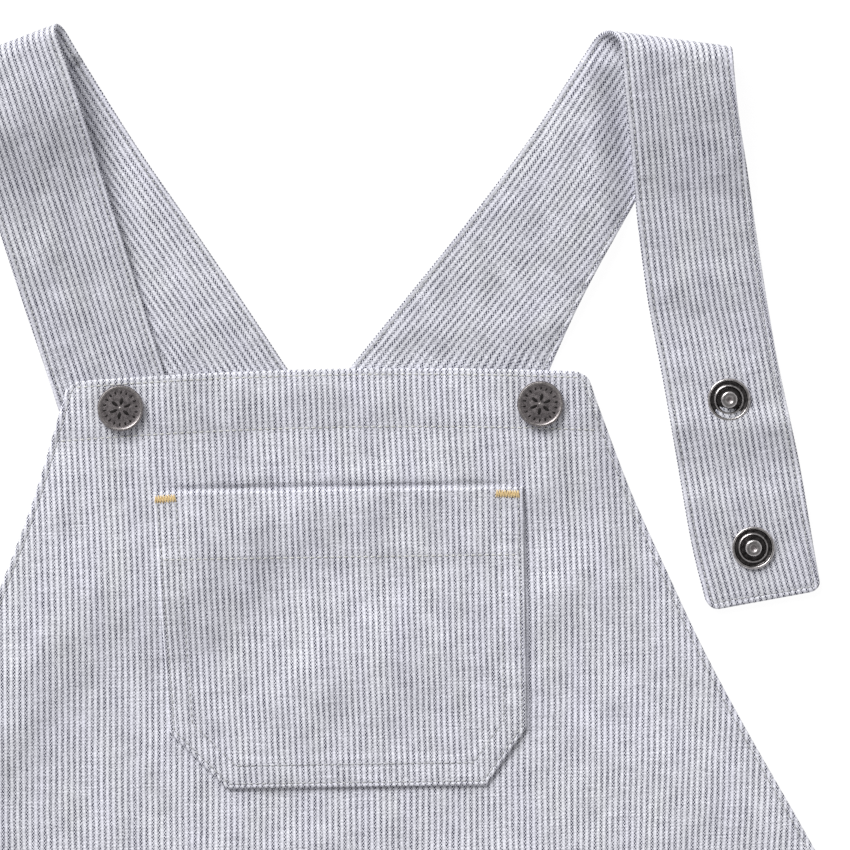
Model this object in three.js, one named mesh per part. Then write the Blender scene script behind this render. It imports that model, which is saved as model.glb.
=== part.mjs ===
// Kids bib overalls, laid flat on their back, in millimetres.
// +X is to the right, +Y runs from the hems up to the straps, and +Z is up, off the surface.
// The origin is on the underside, on the centre line, level with the underarms.

import * as THREE from 'three'

// Cloth thicknesses, gaps and layers
const CLOTH = 1.0
const STRAP = 1.2
const GAP = 0.3
const BAND = 0.6
const LAY = STRAP + GAP
const POCKET_GAP = 0.6

// Levels of the front, from the bib's top edge down to the hems
const TOP = 185
const CROWN = 2.4
const TILT = 0.011
const BAND_LINE = 163
const UNDERARM = 0
const CROTCH = -255
const HEM = -650
const HEM_BAND = 20
const BAND_STEP = 0.6

// Half the width of the front at each level
const FRONT = [
  { y: 185, half: 79.5 },
  { y: 183, half: 83.2 },
  { y: 178.6, half: 86 },
  { y: 172, half: 88 },
  { y: 146, half: 96.5 },
  { y: 120, half: 107 },
  { y: 93, half: 118.6 },
  { y: 67, half: 131.2 },
  { y: 40, half: 145.4 },
  { y: 14, half: 160 },
  { y: 0, half: 171 },
  { y: -30, half: 174.5 },
  { y: -150, half: 178 },
  { y: -255, half: 184 },
  { y: -450, half: 188 },
  { y: -650, half: 187 },
]

// Half the gap between the legs, of the front and of the back, which lies inside it
const FRONT_INSEAM = [
  { y: -255, half: 0 },
  { y: -262, half: 7 },
  { y: -275, half: 13 },
  { y: -300, half: 18 },
  { y: -450, half: 30 },
  { y: -650, half: 42 },
]
const BACK_INSEAM = [
  { y: -234, half: 0 },
  { y: -238, half: 12 },
  { y: -250, half: 24 },
  { y: -275, half: 25 },
  { y: -300, half: 26 },
  { y: -450, half: 33.4 },
  { y: -650, half: 44.8 },
]

// The back: its top edge, its armholes and how far its top lies to the left
const BACK_TOP = 170
const BACK_SHIFT = -4
const BACK_INSET = 2.6
const BACK_ARMHOLE = [
  { y: 170, half: 71 },
  { y: 150, half: 73 },
  { y: 120, half: 79 },
  { y: 90, half: 89 },
  { y: 60, half: 106 },
  { y: 30, half: 130 },
  { y: 12, half: 150 },
  { y: 0, half: 168.4 },
]

// Where the side seam rolls over: the width of each step and how far it has come up
const LIP = [
  { inset: 0, low: 0, high: 0 },
  { inset: 1.2, low: 0, high: 0.7 },
  { inset: 2.4, low: 1, high: 1 },
]
const SEAM_FADE = 26

// Soft folds of the front: middle, direction in degrees, half length, half width and height
const FOLDS = [
  { x: -84, y: 106, turn: 38, long: 46, wide: 13, high: 2.4 },
  { x: -126, y: 46, turn: 52, long: 34, wide: 12, high: 1.6 },
  { x: 88, y: 92, turn: -58, long: 32, wide: 13, high: 1.3 },
  { x: 116, y: 44, turn: -50, long: 38, wide: 14, high: 1.9 },
  { x: -44, y: 10, turn: 76, long: 46, wide: 16, high: 1.4 },
  { x: 58, y: 2, turn: -82, long: 52, wide: 15, high: 1.7 },
  { x: -118, y: -58, turn: 68, long: 60, wide: 17, high: 1.8 },
  { x: 12, y: -96, turn: 84, long: 72, wide: 18, high: 1.2 },
  { x: 122, y: -84, turn: -72, long: 56, wide: 17, high: 1.6 },
  { x: -66, y: -160, turn: 58, long: 62, wide: 17, high: 1.5 },
  { x: -58, y: -246, turn: 24, long: 58, wide: 15, high: 2.0 },
  { x: 52, y: -226, turn: -34, long: 54, wide: 16, high: 2.0 },
  { x: 108, y: -268, turn: -12, long: 46, wide: 15, high: 1.4 },
  { x: -128, y: -352, turn: 74, long: 70, wide: 18, high: 1.6 },
  { x: -76, y: -432, turn: 14, long: 44, wide: 16, high: 1.7 },
  { x: 96, y: -392, turn: -66, long: 76, wide: 18, high: 1.7 },
  { x: 134, y: -476, turn: -18, long: 42, wide: 15, high: 1.4 },
  { x: -112, y: -556, turn: 80, long: 60, wide: 17, high: 1.3 },
  { x: 106, y: -572, turn: -84, long: 58, wide: 17, high: 1.5 },
]

// The patch pocket: its edges at each distance down from the middle of its mouth, which falls to the right,
// and whose sides lean the same way, by small shares of their length
const POCKET = [
  { down: 0, left: -60.1, right: 60.1 },
  { down: 77, left: -58.6, right: 57.8 },
  { down: 79.5, left: -57.6, right: 56.9 },
  { down: 95, left: -42.1, right: 44.4 },
  { down: 96.8, left: -39.2, right: 42 },
]
const POCKET_MOUTH = { x: 2.3, y: 145.8, fall: 0.0175, lean: 0.0175 }
const POCKET_HEM = 20
const POCKET_HEM_RISE = 0.5
const POCKET_BULGE = 1.3
const POCKET_BULGE_REACH = 34

// The straps as they lie: both edges seen from above, and how high the underside is
const FOLD_RADIUS = 5.4
const RIGHT_STRAP = {
  back: [
    { left: [-3.85, 170.3], right: [67, 170.3] },
    { left: [-3.6, 173.2], right: [68.2, 173.2] },
    { left: [8.8, 187.7], right: [74.6, 187.5] },
    { left: [25, 206.7], right: [84.2, 206.5] },
    { left: [46.6, 232], right: [98.6, 231] },
    { left: [66.9, 257.4], right: [113.6, 254.4] },
    { left: [81.8, 278.8], right: [126.4, 272.6] },
    { left: [88.6, 288.6], right: [131, 279.8] },
  ],
  outward: [0.216, 0.976],
  front: [
    { left: [98.7, 286.3], right: [135.4, 278.2], low: 10.8 },
    { left: [99.8, 269], right: [136.4, 264], low: 9.4 },
    { left: [101.2, 249.8], right: [138.6, 246], low: 6.4 },
    { left: [102.4, 229.5], right: [140.7, 227], low: 3.6 },
    { left: [104.9, 204.2], right: [143.8, 202], low: 1 },
    { left: [107.6, 187], right: [146.2, 185], low: 0.4 },
    { left: [110, 171.4], right: [148.8, 170.4], low: 1.2 },
    { left: [113, 150], right: [152.5, 150], low: 0 },
    { left: [117, 122.6], right: [156.3, 122.6], low: 0.8 },
    { left: [119, 107], right: [157.7, 112.4], low: 0 },
    { left: [120.8, 103.7], right: [156.8, 108.4], low: 0 },
  ],
}
const LEFT_STRAP = {
  back: [
    { left: [-75, 170.3], right: [-4.15, 170.3] },
    { left: [-75, 173.2], right: [-4.4, 173.2] },
    { left: [-76, 187], right: [-13.9, 188.4] },
    { left: [-79.6, 203], right: [-25.5, 207.2] },
    { left: [-86, 222], right: [-41.6, 232.6] },
    { left: [-97.6, 247], right: [-58.4, 258.9] },
    { left: [-109, 268], right: [-73.2, 284] },
    { left: [-116, 281.8], right: [-80.2, 296.5] },
  ],
  outward: [-0.379, 0.925],
  front: [
    { left: [-119.4, 280.4], right: [-84.3, 295], low: 10.8 },
    { left: [-115.6, 268], right: [-79.2, 278.6], low: 9.4 },
    { left: [-109.8, 248.5], right: [-73.3, 257.7], low: 7 },
    { left: [-104, 228.8], right: [-67, 235.4], low: 4.7 },
    { left: [-97.7, 207.4], right: [-60.2, 211.4], low: 2.8 },
    { left: [-89.7, 181], right: [-52.7, 184.7], low: 1.5 },
    { left: [-81.6, 152], right: [-44.9, 157], low: 1.5 },
    { left: [-74.4, 125], right: [-37.4, 131], low: 1.5 },
    { left: [-68.6, 109.4], right: [-32.6, 119], low: 1.5 },
    { left: [-66.4, 106.4], right: [-32.9, 115.4], low: 1.5 },
  ],
}

// Snaps: where they are, from above
const LEFT_CAP = { x: -67.3, y: 174.3 }
const RIGHT_CAP = { x: 68.8, y: 171.4 }
const LEFT_LOWER_STUD = { x: -54, y: 127.2 }
const RIGHT_UPPER_STUD = { x: 130.2, y: 170.9, low: 1.2 }
const RIGHT_LOWER_STUD = { x: 136.6, y: 122.5, low: 0.8 }

// Snap sections, each as radius and height, from the axis round and back to it
const CAP_SECTION = [
  [0, 0], [6.8, 0], [7.5, 0.5], [7.5, 1.2], [7.2, 1.7], [6.75, 1.8], [6.3, 1.5], [0, 1.62],
]
const STUD_SECTION = [
  [0, 0], [6.4, 0], [6.85, 0.35], [6.6, 0.78], [6.1, 0.8], [5.5, 0.5], [3.6, 0.5], [3, 0.8],
  [2.2, 1], [1.95, 2.1], [2.35, 2.6], [2.1, 3.05], [1.3, 3.2], [0.6, 2.95], [0, 2.9],
]
const SOCKET_SECTION = [
  [2.75, 0], [5.2, 0], [5.8, 0.4], [5.8, 0.9], [4.6, 1.3], [4.2, 2.1], [2.75, 2.1],
]
const CAP_SIDES = 24
const STUD_SIDES = 14
const SOCKET_BASE = 1.1
const SNAP_GAP = 0.36

// Heights that the front rides over at the snaps, with the flat middle and the slope round it
const LEFT_HILL = { high: 6.7, flat: 10, slope: 23 }
const RIGHT_HILL = { high: LAY + 2.1 + GAP + 0.1, flat: 10, slope: 20 }

// Counts of cells
const HALF_CELLS = 13
const BIB_ROWS = 16
const BODY_ROWS = 12
const LEG_ROWS = 12
const STRAP_CELLS = 5
const POCKET_CELLS = 14

const cloth = new THREE.MeshStandardMaterial({ color: 0xbfbec7, roughness: 0.9, metalness: 0 })
const pewter = new THREE.MeshStandardMaterial({ color: 0x45423f, roughness: 0.45, metalness: 0.9 })
const gunmetal = new THREE.MeshStandardMaterial({ color: 0x6a6866, roughness: 0.35, metalness: 0.95 })

const smooth = (t) => THREE.MathUtils.smoothstep(t, 0, 1)

// Reads one column of a table at a level between two of its rows, along a smooth curve
function readTable(table, key, column, place) {
  const last = table.length - 1
  const rising = table[last][key] > table[0][key]
  const passed = (row) => (rising ? place <= row[key] : place >= row[key])
  const next = table.findIndex(passed)
  if (next === 0) return table[0][column]
  if (next === -1) return table[last][column]
  const slope = (row) => {
    const before = table[Math.max(row - 1, 0)]
    const after = table[Math.min(row + 1, last)]
    return (after[column] - before[column]) / (after[key] - before[key])
  }
  const start = table[next - 1]
  const end = table[next]
  const span = end[key] - start[key]
  const t = (place - start[key]) / span
  const startWeight = 2 * t ** 3 - 3 * t ** 2 + 1
  const startSlope = (t ** 3 - 2 * t ** 2 + t) * span
  const endSlope = (t ** 3 - t ** 2) * span
  return startWeight * start[column] + (1 - startWeight) * end[column]
    + startSlope * slope(next - 1) + endSlope * slope(next)
}

const frontHalf = (y) => readTable(FRONT, 'y', 'half', y)
const frontInseam = (y) => readTable(FRONT_INSEAM, 'y', 'half', y)
const backShift = (y) => BACK_SHIFT * Math.max(y, 0) / BACK_TOP
const backHalf = (y) => (y > 0 ? readTable(BACK_ARMHOLE, 'y', 'half', y) : frontHalf(y) - BACK_INSET)

// Distance from a point to the stretch between two points
function distanceToLine(x, y, from, to) {
  const dx = to.x - from.x
  const dy = to.y - from.y
  const t = THREE.MathUtils.clamp(((x - from.x) * dx + (y - from.y) * dy) / (dx ** 2 + dy ** 2), 0, 1)
  return Math.hypot(x - from.x - t * dx, y - from.y - t * dy)
}

// Height added by the soft folds
function foldHeight(x, y) {
  let sum = 0
  for (const fold of FOLDS) {
    const turn = THREE.MathUtils.degToRad(fold.turn)
    const along = (x - fold.x) * Math.cos(turn) + (y - fold.y) * Math.sin(turn)
    const across = (y - fold.y) * Math.cos(turn) - (x - fold.x) * Math.sin(turn)
    const fade = 1 - smooth(Math.abs(along) / fold.long)
    sum += fold.high * fade * Math.exp(-((across / fold.wide) ** 2))
  }
  return sum
}

// How far a hill holds the front up, from 1 on its flat middle to 0 past its slope
const hillShare = (hill, distance) => 1 - smooth((distance - hill.flat) / hill.slope)

// Height of the front's underside: over the back and the straps, down to the surface beside them
function frontLow(x, y) {
  const beside = Math.abs(x - backShift(y)) - backHalf(Math.min(y, BACK_TOP)) - 9
  const ease = y > UNDERARM ? smooth(beside / 18) : 0
  const base = LAY * (1 - ease)
  const leftShare = hillShare(LEFT_HILL, distanceToLine(x, y, LEFT_CAP, LEFT_LOWER_STUD))
  const rightShare = hillShare(RIGHT_HILL, Math.hypot(x - RIGHT_CAP.x, y - RIGHT_CAP.y))
  const folds = foldHeight(x, y) * (1 - leftShare) * (1 - rightShare)
  return base + (LEFT_HILL.high - base) * leftShare + (RIGHT_HILL.high - base) * rightShare + folds
}

// Closes a sheet of four-sided cells into one solid, with a wall round every free edge
function closeSheet(high, low, cells) {
  const count = high.length
  const index = []
  const sides = new Set(cells.flatMap((cell) => cell.map((corner, k) => `${corner},${cell[(k + 1) % 4]}`)))
  for (const cell of cells) {
    const [a, b, c, d] = cell
    index.push(a, b, c, a, c, d)
    index.push(a + count, c + count, b + count, a + count, d + count, c + count)
    for (const [k, from] of cell.entries()) {
      const to = cell[(k + 1) % 4]
      if (sides.has(`${to},${from}`)) continue
      index.push(from, from + count, to + count, from, to + count, to)
    }
  }
  const geometry = new THREE.BufferGeometry()
  geometry.setAttribute('position', new THREE.Float32BufferAttribute([...high, ...low].flat(), 3))
  geometry.setIndex(index)
  geometry.computeVertexNormals()
  return geometry
}

// Cells between two rows of equal length, each row given by its first corner and read to the right
function cellsBetween(upper, lower, count) {
  const cells = []
  for (let k = 0; k < count; k++) {
    cells.push([upper + k, lower + k, lower + k + 1, upper + k + 1])
  }
  return cells
}

// Places along a span, with the narrow steps of a rolled seam at its start, its end or both
function spanPlaces(from, to, rollStart, rollEnd) {
  const way = Math.sign(to - from)
  const start = rollStart ? LIP : [{ inset: 0, low: 1, high: 1 }]
  const end = rollEnd ? LIP : [{ inset: 0, low: 1, high: 1 }]
  const inner = [from + way * start.at(-1).inset, to - way * end.at(-1).inset]
  const places = start.map((step) => ({ x: from + way * step.inset, step }))
  const middle = HALF_CELLS - (start.length - 1) - (end.length - 1)
  for (let k = 1; k < middle; k++) {
    places.push({ x: THREE.MathUtils.lerp(...inner, k / middle), step: LIP.at(-1) })
  }
  return [...places, ...end.toReversed().map((step) => ({ x: to - way * step.inset, step }))]
}

const evenly = (from, to, count) => Array.from({ length: count }, (_, k) => from + (to - from) * (k + 1) / count)

// Levels below the underarms, which the front and the back share
const HEM_BAND_TOP = HEM + HEM_BAND + BAND_STEP / 2
const bodyLevels = evenly(UNDERARM, CROTCH, BODY_ROWS)
const archLevels = [-262, -275, -300]
const legLevels = [
  ...archLevels,
  ...evenly(archLevels.at(-1), HEM_BAND_TOP, LEG_ROWS),
  HEM_BAND_TOP - BAND_STEP,
  HEM,
]

// The front: bib, body and both legs in one cloth, with a doubled band at the top and at the hems
function makeFront() {
  const high = []
  const low = []
  const cells = []
  const addPoint = ({ x, step }, level) => {
    const y = level - (CROWN * (x / frontHalf(TOP)) ** 2 + TILT * x) * smooth(level / TOP)
    const seam = 1 - smooth(level / SEAM_FADE)
    const rest = frontLow(x, y)
    const banded = level > BAND_LINE || level < HEM + HEM_BAND
    low.push([x, y, rest * (1 - seam * (1 - step.low))])
    high.push([x, y, rest * (1 - seam * (1 - step.high)) + CLOTH + (banded ? BAND : 0)])
  }

  const bandRows = [TOP, 183, 178.6, 173, 168, BAND_LINE + BAND_STEP / 2, BAND_LINE - BAND_STEP / 2]
  const bibRows = evenly(bandRows.at(-1), UNDERARM, BIB_ROWS)
  const bodyRows = [...bandRows, ...bibRows, ...bodyLevels]
  const bodyWidth = 2 * HALF_CELLS + 1
  for (const [row, level] of bodyRows.entries()) {
    const half = frontHalf(level)
    const leftSide = spanPlaces(-half, 0, true, false)
    const rightSide = spanPlaces(0, half, false, true)
    if (level === CROTCH) leftSide.at(-1).step = LIP[0]
    for (const place of [...leftSide, ...rightSide.slice(1)]) addPoint(place, level)
    if (row > 0) cells.push(...cellsBetween((row - 1) * bodyWidth, row * bodyWidth, 2 * HALF_CELLS))
  }

  for (const side of [-1, 1]) {
    let above = (bodyRows.length - 1) * bodyWidth + (side > 0 ? HALF_CELLS : 0)
    for (const level of legLevels) {
      const edges = [side * frontHalf(level), side * frontInseam(level)]
      const [left, right] = side < 0 ? edges : edges.toReversed()
      const first = high.length
      for (const place of spanPlaces(left, right, true, true)) addPoint(place, level)
      cells.push(...cellsBetween(above, first, HALF_CELLS))
      above = first
    }
  }
  return closeSheet(high, low, cells)
}

// The back: one flat cloth, with its top edge across the shoulder blades
function makeBack() {
  const sideLevels = [BACK_TOP, ...evenly(BACK_TOP, UNDERARM, 14), ...bodyLevels, ...legLevels]
  const seamLevels = BACK_INSEAM.map((row) => row.y).toReversed()
  const halfOutline = [
    ...sideLevels.map((y) => [backHalf(y), y]),
    ...seamLevels.map((y) => [readTable(BACK_INSEAM, 'y', 'half', y), y]),
  ]
  const mirrored = halfOutline.slice(0, -1).toReversed().map(([x, y]) => [-x, y])
  const outline = [...halfOutline, ...mirrored].map(([x, y]) => new THREE.Vector2(x + backShift(y), y))
  return new THREE.ExtrudeGeometry(new THREE.Shape(outline), { depth: CLOTH, bevelEnabled: false })
}

// The patch pocket: it follows the front and stands off it a little at its mouth
function makePocket() {
  const hemRows = [0, POCKET_HEM - BAND_STEP / 2, POCKET_HEM + BAND_STEP / 2]
  const rows = [...hemRows, ...evenly(hemRows.at(-1), 77, 6), 79.5, 87, 95, 96.8]
  const high = []
  const low = []
  const cells = []
  for (const [row, down] of rows.entries()) {
    const left = readTable(POCKET, 'down', 'left', down)
    const right = readTable(POCKET, 'down', 'right', down)
    for (let k = 0; k <= POCKET_CELLS; k++) {
      const across = THREE.MathUtils.lerp(left, right, k / POCKET_CELLS)
      const x = POCKET_MOUTH.x + across + down * POCKET_MOUTH.lean
      const y = POCKET_MOUTH.y - down - across * POCKET_MOUTH.fall
      const bulge = Math.sin(Math.PI * k / POCKET_CELLS) ** 2 * (1 - smooth(down / POCKET_BULGE_REACH))
      const rest = frontLow(x, y) + CLOTH + POCKET_GAP + POCKET_BULGE * bulge
      low.push([x, y, rest])
      high.push([x, y, rest + CLOTH + (down < POCKET_HEM ? POCKET_HEM_RISE : 0)])
    }
    const width = POCKET_CELLS + 1
    if (row > 0) cells.push(...cellsBetween((row - 1) * width, row * width, POCKET_CELLS))
  }
  return closeSheet(high, low, cells)
}

// Middle points of a strap's edges along one stretch, on smooth curves through the table's rows
function strapStretch(rows, steps) {
  const curveOf = (edge) => new THREE.CatmullRomCurve3(
    rows.map((row) => new THREE.Vector3(...row[edge], (row.low ?? 0) + STRAP / 2)),
  )
  const curves = [curveOf('left'), curveOf('right')]
  const count = (rows.length - 1) * steps
  return Array.from({ length: count + 1 }, (_, k) => curves.map((curve) => curve.getPoint(k / count)))
}

// A strap: flat up its back part, over a soft fold, and down its front part
function makeStrap(strap) {
  const back = strapStretch(strap.back, 2)
  const front = strapStretch(strap.front, 3)
  const outward = new THREE.Vector3(...strap.outward, 0)
  const foldSteps = 8
  const fold = []
  for (let k = 1; k < foldSteps; k++) {
    const angle = Math.PI * k / foldSteps
    const ends = back.at(-1).map((start, edge) => {
      const point = start.clone().lerp(front[0][edge], k / foldSteps)
      point.z = start.z + FOLD_RADIUS * (1 - Math.cos(angle))
      return point.addScaledVector(outward, FOLD_RADIUS * Math.sin(angle))
    })
    fold.push(ends)
  }
  const rows = [...back, ...fold, ...front]
  const width = STRAP_CELLS + 1
  const middle = rows.flatMap(([left, right]) => Array.from(
    { length: width },
    (_, k) => left.clone().lerp(right, k / STRAP_CELLS),
  ))
  const high = []
  const low = []
  const cells = []
  for (const [row] of rows.entries()) {
    for (let k = 0; k < width; k++) {
      const here = middle[row * width + k]
      const before = middle[Math.max(row - 1, 0) * width + k]
      const after = middle[Math.min(row + 1, rows.length - 1) * width + k]
      const across = middle[row * width + STRAP_CELLS].clone().sub(middle[row * width])
      const normal = across.cross(after.clone().sub(before)).normalize()
      for (const [points, side] of [[high, 1], [low, -1]]) {
        const point = here.clone().addScaledVector(normal, side * STRAP / 2)
        points.push([point.x, point.y, Math.max(point.z, 0)])
      }
    }
    if (row > 0) cells.push(...cellsBetween(row * width, (row - 1) * width, STRAP_CELLS))
  }
  return closeSheet(high, low, cells)
}

// A round metal piece turned about the vertical
function turned(section, sides) {
  const profile = section.map(([radius, height]) => new THREE.Vector2(radius, height))
  if (section[0][0] > 0) profile.push(profile[0].clone())
  return new THREE.LatheGeometry(profile, sides).rotateX(Math.PI / 2)
}

const overalls = new THREE.Group()

function add(name, geometry, material, place = {}) {
  const mesh = new THREE.Mesh(geometry, material)
  mesh.name = name
  mesh.position.set(place.x ?? 0, place.y ?? 0, place.z ?? 0)
  overalls.add(mesh)
}

add('back', makeBack(), cloth)
add('front', makeFront(), cloth)
add('pocket', makePocket(), cloth)
add('strap_left', makeStrap(LEFT_STRAP), cloth)
add('strap_right', makeStrap(RIGHT_STRAP), cloth)

// Caps on the bib's band, with their sockets behind the cloth
const bandTop = (hill) => hill.high + CLOTH + BAND + GAP
const cap = turned(CAP_SECTION, CAP_SIDES)
const socket = turned(SOCKET_SECTION, STUD_SIDES)
const stud = turned(STUD_SECTION, STUD_SIDES)
const leftStudBase = LAY + STRAP + GAP
add('cap_left', cap, pewter, { ...LEFT_CAP, z: bandTop(LEFT_HILL) })
add('cap_right', cap, pewter, { ...RIGHT_CAP, z: bandTop(RIGHT_HILL) })
add('socket_left', socket, gunmetal, { ...LEFT_CAP, z: leftStudBase + SOCKET_BASE })
add('socket_right', socket, gunmetal, { ...RIGHT_CAP, z: LAY })

// Studs: the left strap's upper one is in its socket, and the right strap's face up
add('stud_left_upper', stud, gunmetal, { ...LEFT_CAP, z: leftStudBase })
add('stud_left_lower', stud, gunmetal, { ...LEFT_LOWER_STUD, z: leftStudBase })
for (const [name, place] of [['stud_right_upper', RIGHT_UPPER_STUD], ['stud_right_lower', RIGHT_LOWER_STUD]]) {
  add(name, stud, gunmetal, { ...place, z: place.low + STRAP + SNAP_GAP })
}

export default overalls
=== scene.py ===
# Kids bib overalls in a narrow striped twill, laid flat on their back.
# Shapes are worked out in millimetres in the frame's own axes, and become metres when a mesh is made.
from collections import namedtuple
from math import cos, hypot, pi, radians, sin

import bpy
import numpy as np
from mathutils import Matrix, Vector


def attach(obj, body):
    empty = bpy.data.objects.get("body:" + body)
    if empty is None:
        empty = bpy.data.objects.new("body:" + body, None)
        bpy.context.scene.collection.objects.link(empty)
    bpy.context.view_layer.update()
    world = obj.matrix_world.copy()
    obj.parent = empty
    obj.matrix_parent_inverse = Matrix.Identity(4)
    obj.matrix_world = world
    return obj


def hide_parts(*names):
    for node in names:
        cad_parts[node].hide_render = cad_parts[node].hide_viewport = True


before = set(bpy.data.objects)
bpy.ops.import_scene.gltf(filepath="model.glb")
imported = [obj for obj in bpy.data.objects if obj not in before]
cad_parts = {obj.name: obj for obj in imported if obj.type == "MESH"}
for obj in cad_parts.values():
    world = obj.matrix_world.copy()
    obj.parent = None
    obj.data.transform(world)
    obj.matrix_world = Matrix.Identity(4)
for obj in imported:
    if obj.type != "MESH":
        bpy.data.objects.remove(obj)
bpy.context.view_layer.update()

MM = 0.001


# Cloth thicknesses, gaps and layers
CLOTH = 1.0
STRAP = 1.2
GAP = 0.3
BAND = 0.6
LAY = STRAP + GAP

# Levels from the bib's top edge down to the hems, and how much that edge curves and slants
TOP = 185
CROWN = 2.4
TILT = 0.011
BAND_LINE = 165
CROTCH = -255
BACK_CROTCH = -234
HEM = -650
HEM_BAND = 20

# Half the width of the front at each level
FRONT = {
    "y": [TOP, 183.4, 181, 178, 172, 146, 120, 93, 67, 40, 14, 0, -30, -150, CROTCH, -450, HEM],
    "half": [
        81, 84.2, 85.5, 86.4, 88.4, 97.5, 108.2, 119.6, 132, 145.7, 159.4, 170.6, 174.5, 178, 184, 188, 187,
    ],
}

# Half the gap between the legs, of the front and of the back, which lies inside it
FRONT_INSEAM = {"y": [CROTCH, -262, -275, -300, -450, HEM], "half": [0, 7, 13, 18, 30, 42]}
BACK_INSEAM = {
    "y": [BACK_CROTCH, -238, -250, -275, -300, -450, HEM],
    "half": [0, 12, 24, 25, 26, 33.4, 44.8],
}

# The back: its top edge, how far that lies to the left and the sides lie in, its share of the folds,
# the shift of its stripes, and its armholes
BACK_TOP = 170
BACK_SHIFT = -4
BACK_INSET = 2.6
BACK_SHARE = 0.45
BACK_GRAIN = 0.4
BACK_ARMHOLE = {
    "y": [BACK_TOP, 150, 120, 90, 60, 30, 12, 0],
    "half": [71, 73, 79, 89, 106, 130, 150, 168.4],
}

# Beside the back, the front comes down from its edge to the surface, over these widths left and right
BESIDE_START = 9
BESIDE_WIDE = {"left": 34, "right": 18}

# Where the side seam rolls over: from where to where in from the edge, and how far up the bib it fades
ROLL_START = 1.1
ROLL = 2.4
SEAM_FADE = 26

# A soft ridge, or a trough: its middle, direction in degrees, half length, half width and height
Ridge = namedtuple("Ridge", ["x", "y", "turn", "long", "wide", "high"])

# Soft folds of the front
FOLDS = [Ridge(*row) for row in [
    (-93, 98, 44, 58, 14, 2.6),
    (-110, 116, 44, 46, 18, 2.2),
    (-113, 64, 60, 40, 13, 2.0),
    (76, 110, 40, 26, 11, 1.8),
    (116, 44, -50, 38, 14, 1.9),
    (-44, 10, 76, 46, 16, 1.4),
    (58, 2, -82, 52, 15, 2.3),
    (-118, -58, 68, 60, 17, 2.4),
    (12, -96, 84, 72, 18, 1.6),
    (122, -84, -72, 56, 17, 2.2),
    (-66, -160, 58, 62, 17, 2.0),
    (-58, -246, 24, 58, 15, 2.7),
    (52, -226, -34, 54, 16, 2.7),
    (108, -268, -12, 46, 15, 1.9),
    (-128, -352, 74, 70, 18, 2.2),
    (-76, -432, 14, 44, 16, 2.3),
    (96, -392, -66, 76, 18, 2.3),
    (134, -476, -18, 42, 15, 1.9),
    (-112, -556, 80, 60, 17, 1.8),
    (106, -572, -84, 58, 17, 2.0),
]]

# Finer creases and hollows of the front, which the folds above leave out
CREASES = [Ridge(*row) for row in [
    (8, 90, 24, 64, 19, 1.9),
    (-4, 139, 9, 58, 10.5, 1.3),
    (-80, 153, 58, 26, 6, 2.6),
    (28, 46, 8, 40, 8, 0.7),
    (69, 145, 40, 13, 5, 1.2),
    (-4, 177.5, 1, 66, 4.6, 0.5),
    (8, 149.9, -1, 56, 3.2, 0.6),
    (-38, 150.4, 0, 26, 2.4, 0.6),
    (-100, 74, 48, 34, 5.5, 0.45),
    (-70, 96, 56, 30, 5, -0.35),
    (72, 112, 78, 28, 5, 0.35),
    (100, 70, -64, 30, 5, 0.4),
    (0, 33, 8, 40, 6, 0.35),
    (-30, 154, 4, 24, 3.4, 0.22),
    (30, 152, -6, 28, 3.8, 0.24),
    (-96, -24, 62, 44, 6, 0.5),
    (96, -40, -58, 52, 6.5, 0.55),
    (-28, -120, 80, 48, 6, 0.4),
    (52, -150, -70, 54, 7, 0.45),
    (-40, -226, 34, 36, 5, 0.7),
    (-74, -262, 18, 42, 5.5, 0.6),
    (34, -238, -42, 34, 5, 0.7),
    (70, -280, -22, 40, 5.5, 0.6),
    (-100, -318, 66, 46, 6, 0.5),
    (120, -338, -60, 50, 6, 0.5),
    (-58, -388, 22, 34, 5.5, 0.55),
    (78, -446, -24, 38, 6, 0.5),
    (-138, -470, 72, 44, 6, 0.45),
    (-84, -524, 12, 36, 6, 0.45),
    (140, -548, -74, 42, 6, 0.45),
]]

# How high the cloth waves besides, and the lowest that a hollow may lie below its seat
BODY_CRUMPLE = 0.34
STRAP_CRUMPLE = 0.5
LEAST_FOLD = -0.3

# The patch pocket: half its mouth, its depth, and its corners across and down from the middle of the mouth
POCKET_HALF = 60.1
POCKET_DEPTH = 96.8
POCKET_CUT = 78.4
POCKET_CORNERS = [
    (-POCKET_HALF, 0), (-58.4, POCKET_CUT), (-40.7, POCKET_DEPTH),
    (43.3, POCKET_DEPTH), (57.4, POCKET_CUT), (POCKET_HALF, 0),
]

# The middle of its mouth, how it slants across and down, and the dent in the bib above it
POCKET_MOUTH = {"x": 2.3, "y": 145.8, "fall": 0.0175, "lean": 0.0175}
MOUTH_DENT = {"above": 0.9, "wide": 0.9, "deep": 0.6, "reach": 48, "fade": 10}

# Its hem, the cloth turned in at its sides, how it bulges at the mouth and stands off at the right
POCKET_HEM = 22.6
POCKET_HEM_STITCHES = POCKET_HEM - 0.6
POCKET_HEM_REACH = 58
POCKET_HEM_RISE = 0.5
POCKET_TURNED_IN = 0.5
POCKET_BULGE = 1.5
POCKET_BULGE_REACH = 34
POCKET_LOOSE = {"high": 0.35, "beyond": 50, "until": 66}

# Its stitches, in from the edge and down from the mouth, and how its stripes slant and spread
POCKET_ROWS_OF_STITCHES = [1.5, 7.4]
STITCH_START = 0.8
POCKET_GRAIN = 0.0088
POCKET_TAPER = 0.0003

# Soft ripples in the pocket, placed by distance across and down from the middle of its mouth
POCKET_RIPPLES = [Ridge(*row) for row in [
    (15, 56, 86, 26, 5.5, 0.95),
    (33, 58, 80, 24, 5, 0.5),
    (-8, 58, 92, 20, 5.5, 0.9),
    (-30, 20, 88, 26, 6, 0.9),
    (-14, 16, 90, 18, 5, 0.5),
    (12, 88, 4, 30, 3.5, 0.26),
]]

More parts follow.
